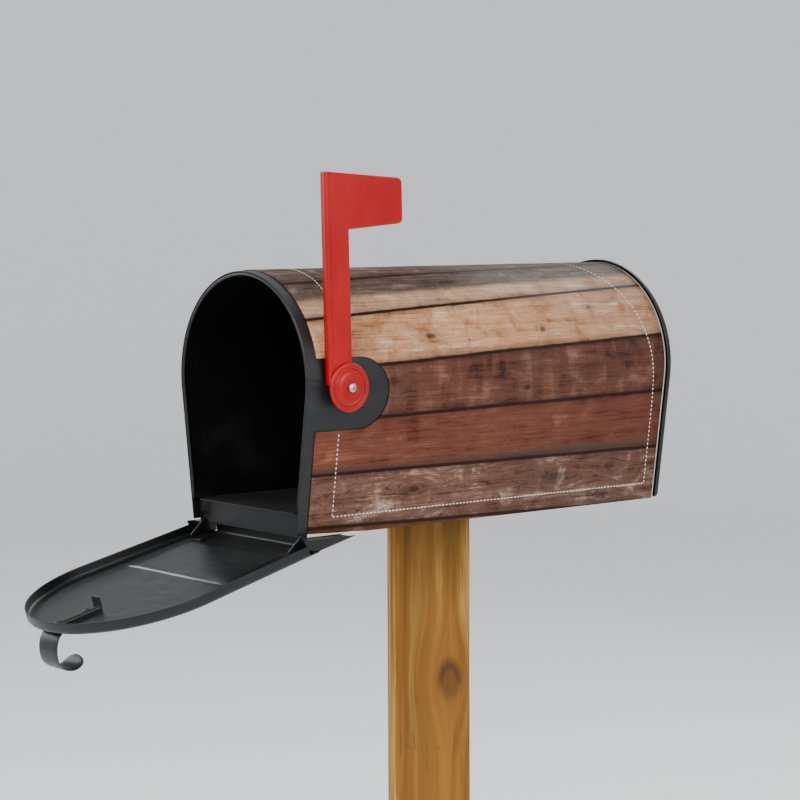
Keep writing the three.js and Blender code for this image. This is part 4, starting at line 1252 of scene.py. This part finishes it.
post = {
    "size": 89, "ease": 6, "turn": -37.5, "rows": 300, "aroundSide": 22, "aroundCorner": 5,
    "brown": "#704410", "honey": "#8f5f1e", "pale": "#b98f45", "oliveShade": "#4a3906", "core": "#482a12",
    "middle": "#754812", "stain": "#5a4010", "crack": "#2c1705", "halo": "#7a4d14",
    # heights in metres where the painted shade under the box starts and is full
    "oliveShadeFrom": 0.92, "oliveShadeTo": 1.04,
    # the planed faces have worn unevenly: depth, then the size across and along the grain
    "wear": [(0.35, 16, 160), (0.25, 4, 90)],
    # bark-edged nicks along one arris: place round the post, half width, depth, then height and
    # half height of each
    "arris": -41, "nickWidth": 4, "nickDepth": 2.2,
    "nicks": [(882, 8), (856, 9), (720, 7), (610, 10), (300, 12)],
    # knots: which side, place across it, height, half width, half height, depth of the dark
    "knots": [(0, 22, 853, 11.5, 21, 0.9), (2, -16, 620, 9, 16, 0.8), (1, 10, 760, 10, 17, 0.8),
              (3, -8, 940, 10, 16, 0.8), (1, -14, 330, 9, 15, 0.8), (3, 16, 480, 11, 18, 0.8),
              (0, -18, 420, 10, 17, 0.7), (2, 12, 200, 9, 15, 0.8)],
    # growth rings show as bands 8 to 40 mm wide that run the length of the post
    "patterns": {
        "broad": {"size": (38, 455, 1000), "detail": 4, "wave": 0.9},
        "rings": {"size": (8.3, 417, 1000), "detail": 3, "rough": 0.5, "wave": 0.5, "shift": (2, 0, 0)},
        "fine": {"size": (1.1, 71, 1000), "detail": 4, "rough": 0.6},
        "stain": {"size": (33, 91, 1000), "detail": 5, "rough": 0.65, "shift": (4, 4, 0)},
        "check": {"size": (9, 150, 1000), "detail": 2, "rough": 0.5, "wave": 0.8, "shift": (6, 1, 0)},
    },
    "shares": {"broad": 0.62, "rings": 0.26, "fine": 0.12},
    "shader": {"IOR": 1.5, "Specular IOR Level": 0.3},
}


def postKnots(tree, where, across):
    # how dark each knot is, its halo, and how far it pushes the grain aside
    core = 0.0
    push = 0.0
    halo = 0.0
    for side, x, z, wide, tall, depth in post["knots"]:
        u = side * post["size"] + x
        local = addNode(tree, "Mapping", {"Vector": where, "Location": (-u / wide, -z / tall, 0),
                                          "Scale": (1000 / wide, 1000 / tall, 0)})
        away = addNode(tree, "VectorMath", {0: local}, operation="LENGTH")
        ring = addNode(tree, "Math", {0: away, 1: 0.78}, operation="SUBTRACT")
        ring = addNode(tree, "Math", {0: ring}, operation="ABSOLUTE")
        # darkest over the top of the knot, fading to a soft tail below
        upper = addNode(tree, "SeparateXYZ", {0: local}).outputs[1]
        upper = addNode(tree, "MapRange", {0: upper, 1: -0.9, 2: 0.3, 3: 0.35 * depth, 4: depth}, **smooth)
        ring = addNode(tree, "MapRange", {0: ring, 1: 0, 2: 0.75, 3: upper, 4: 0}, **smooth)
        body = addNode(tree, "MapRange", {0: away, 1: 0.6, 2: 1.45, 3: 0.7 * depth, 4: 0}, **smooth)
        near = addNode(tree, "MapRange", {0: away, 1: 0.9, 2: 4.5, 3: 1, 4: 0}, **smooth)
        aside = addNode(tree, "Math", {0: across, 1: u * mm}, operation="SUBTRACT")
        push = addNode(tree, "Math", {0: aside, 1: near, 2: push}, operation="MULTIPLY_ADD")
        core = addNode(tree, "Math", {0: core, 1: ring}, operation="MAXIMUM")
        core = addNode(tree, "Math", {0: core, 1: body}, operation="MAXIMUM")
        halo = addNode(tree, "Math", {0: halo, 1: near}, operation="MAXIMUM")
    return core, halo, addNode(tree, "Math", {0: push, 1: -0.75, 2: across}, operation="MULTIPLY_ADD")


def makeTreatedPine(name):
    # planed, pressure-treated pine that has stood outside: honey brown, darkened to olive near the top by
    # painted shade under the box, long soft streaks, red-brown knots and fine drying cracks, with no shine
    material, tree = newMaterial(name)
    where = addNode(tree, "UVMap", uv_map="face")
    place = addNode(tree, "SeparateXYZ", {0: where})
    across, height = place.outputs[0], place.outputs[1]
    core, halo, flow = postKnots(tree, where, across)
    laid = layPatterns(tree, addNode(tree, "CombineXYZ", {0: flow, 1: height}), post["patterns"])
    tone = mixPatterns(tree, laid, post["shares"])
    honey = addNode(tree, "MapRange", {0: tone, 1: 0.36, 2: 0.5}, **smooth)
    pale = addNode(tree, "MapRange", {0: tone, 1: 0.5, 2: 0.62}, **smooth)
    streaked = addNode(tree, "MapRange", {0: laid["broad"], 1: 0.65, 2: 0.35, 3: 0.35, 4: 0.85}, **smooth)
    # painted shade: the top of the post, just under the box, is darkened towards olive
    oliveShade = addNode(tree, "MapRange", {0: height, 1: post["oliveShadeFrom"], 2: post["oliveShadeTo"], 4: streaked},
                    **smooth)
    # the middle of the widest-seen face is browner than its sides
    middle = addNode(tree, "Math", {0: across, 1: 12 * mm}, operation="ADD")
    middle = addNode(tree, "Math", {0: middle}, operation="ABSOLUTE")
    middle = addNode(tree, "MapRange", {0: middle, 1: 4 * mm, 2: 30 * mm, 3: 0.6, 4: 0}, **smooth)
    stain = addNode(tree, "MapRange", {0: laid["stain"], 1: 0.56, 2: 0.75, 4: 0.45}, **smooth)
    crack = addNode(tree, "Math", {0: laid["check"], 1: 0.5}, operation="SUBTRACT")
    crack = addNode(tree, "Math", {0: crack}, operation="ABSOLUTE")
    crack = addNode(tree, "MapRange", {0: crack, 1: 0, 2: 0.006, 3: 0.75, 4: 0})
    crack = addNode(tree, "MapRange", {0: laid["stain"], 1: 0.46, 2: 0.6, 4: crack}, **smooth)
    halo = addNode(tree, "Math", {0: halo, 1: 0.2}, operation="MULTIPLY")
    masks = {"honey": honey, "pale": pale, "middle": middle, "oliveShade": oliveShade, "stain": stain,
             "crack": crack, "halo": halo, "core": core}
    colour = paintOver(tree, post["brown"], [(mask, post[key]) for key, mask in masks.items()])
    dull = addNode(tree, "MapRange", {0: tone, 1: 0.35, 2: 0.65, 3: 0.78, 4: 0.62})
    relief = addNode(tree, "Math", {0: crack, 1: -0.9, 2: tone}, operation="MULTIPLY_ADD")
    relief = addNode(tree, "Math", {0: core, 1: -0.25, 2: relief}, operation="MULTIPLY_ADD")
    bump = addNode(tree, "Bump", {"Strength": 0.5, "Distance": 0.9 * mm, "Height": relief})
    giveSurface(tree, {"Base Color": colour, "Roughness": dull, "Normal": bump, **post["shader"]})
    return material


endGrain = {"ringWidth": 4.2, "early": "#8a6436", "late": "#5c3c18", "pith": (0.07, 0.05, 0)}


def makeEndGrain(name):
    # sawn end of the same pine: growth rings about 4 mm apart, rough and dull
    material, tree = newMaterial(name)
    where = addNode(tree, "TexCoord").outputs["Object"]
    place = addNode(tree, "Mapping", {"Vector": where, "Location": endGrain["pith"]})
    rings = addNode(tree, "TexWave", {
        "Vector": place, "Scale": 100 * math.pi / endGrain["ringWidth"], "Distortion": 2.5,
        "Detail": 3, "Detail Scale": 1.2}, wave_type="RINGS", rings_direction="Z").outputs["Fac"]
    bump = addNode(tree, "Bump", {"Strength": 0.3, "Distance": 0.5 * mm, "Height": rings})
    giveSurface(tree, {"Base Color": paintOver(tree, endGrain["early"], [(rings, endGrain["late"])]),
                       "Roughness": 0.85, "Normal": bump, "IOR": post["shader"]["IOR"]})
    return material


pine = makeTreatedPine("treated_pine")
pineEnd = makeEndGrain("sawn_pine_end")


def postSection():
    # the section with eased corners, as [x, y, distance round it from the first face's middle]
    half, ease = post["size"] / 2, post["ease"]
    points = []
    for face in range(4):
        turn = Matrix.Rotation(math.pi / 2 * face, 2)
        flat = half - ease
        for i in range(post["aroundSide"]):
            y = -flat + 2 * flat * i / post["aroundSide"]
            points.append((turn @ Vector((half, y)), face * post["size"] + y))
        for i in range(post["aroundCorner"]):
            angle = math.pi / 2 * i / post["aroundCorner"]
            spot = Vector((flat + ease * math.cos(angle), flat + ease * math.sin(angle)))
            points.append((turn @ spot, face * post["size"] + flat + 2 * ease * i / post["aroundCorner"]))
    return points


def postWear(spot, around, z):
    # how far a spot on the post's surface lies inside its planed size
    (deep, across, along), (fine, fineAcross, fineAlong) = post["wear"]
    wear = deep * (noise.noise(Vector((spot.x / across, spot.y / across, z / along))) + 0.6)
    wear += fine * abs(noise.noise(Vector((spot.x / fineAcross, spot.y / fineAcross, z / fineAlong + 5))))
    arris = math.exp(-((around - post["arris"]) / post["nickWidth"]) ** 2)
    wear += post["nickDepth"] * arris * sum(math.exp(-((z - h) / w) ** 2) for h, w in post["nicks"])
    return max(wear, 0)


def makePost():
    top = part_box("post")[1][2] / mm
    section = postSection()
    count = len(section)
    turn = Matrix.Rotation(math.radians(post["turn"]), 2)
    rows = []
    for r in range(post["rows"] + 1):
        z = top * r / post["rows"]
        row = []
        for spot, around in section:
            flatSpot = turn @ (spot * (1 - postWear(spot, around, z) / spot.length))
            row.append(Vector((*flatSpot, z)) * mm)
        rows.append(row)
    verts, faces = loftRows(rows)
    faces.append(tuple(reversed(range(count))))
    faces.append(tuple(post["rows"] * count + i for i in range(count)))
    mesh = bpy.data.meshes.new("post_planed")
    mesh.from_pydata([tuple(v) for v in verts], [], faces)
    layer = mesh.uv_layers.new(name="face")
    for poly in mesh.polygons:
        poly.material_index = 1 if len(poly.vertices) > 4 else 0
        arounds = [section[mesh.loops[i].vertex_index % count][1] for i in poly.loop_indices]
        wrap = max(arounds) - min(arounds) > post["size"] * 2
        for i, around in zip(poly.loop_indices, arounds):
            if wrap and around < post["size"]:
                around += 4 * post["size"]
            layer.data[i].uv = (around * mm, verts[mesh.loops[i].vertex_index].z)
    piece = placeMesh("post_planed", mesh, pine, 50)
    mesh.materials.append(pineEnd)
    standFor(piece, "post")


makePost()
softened("mounting_board", 1.0, board)
print("timber made")
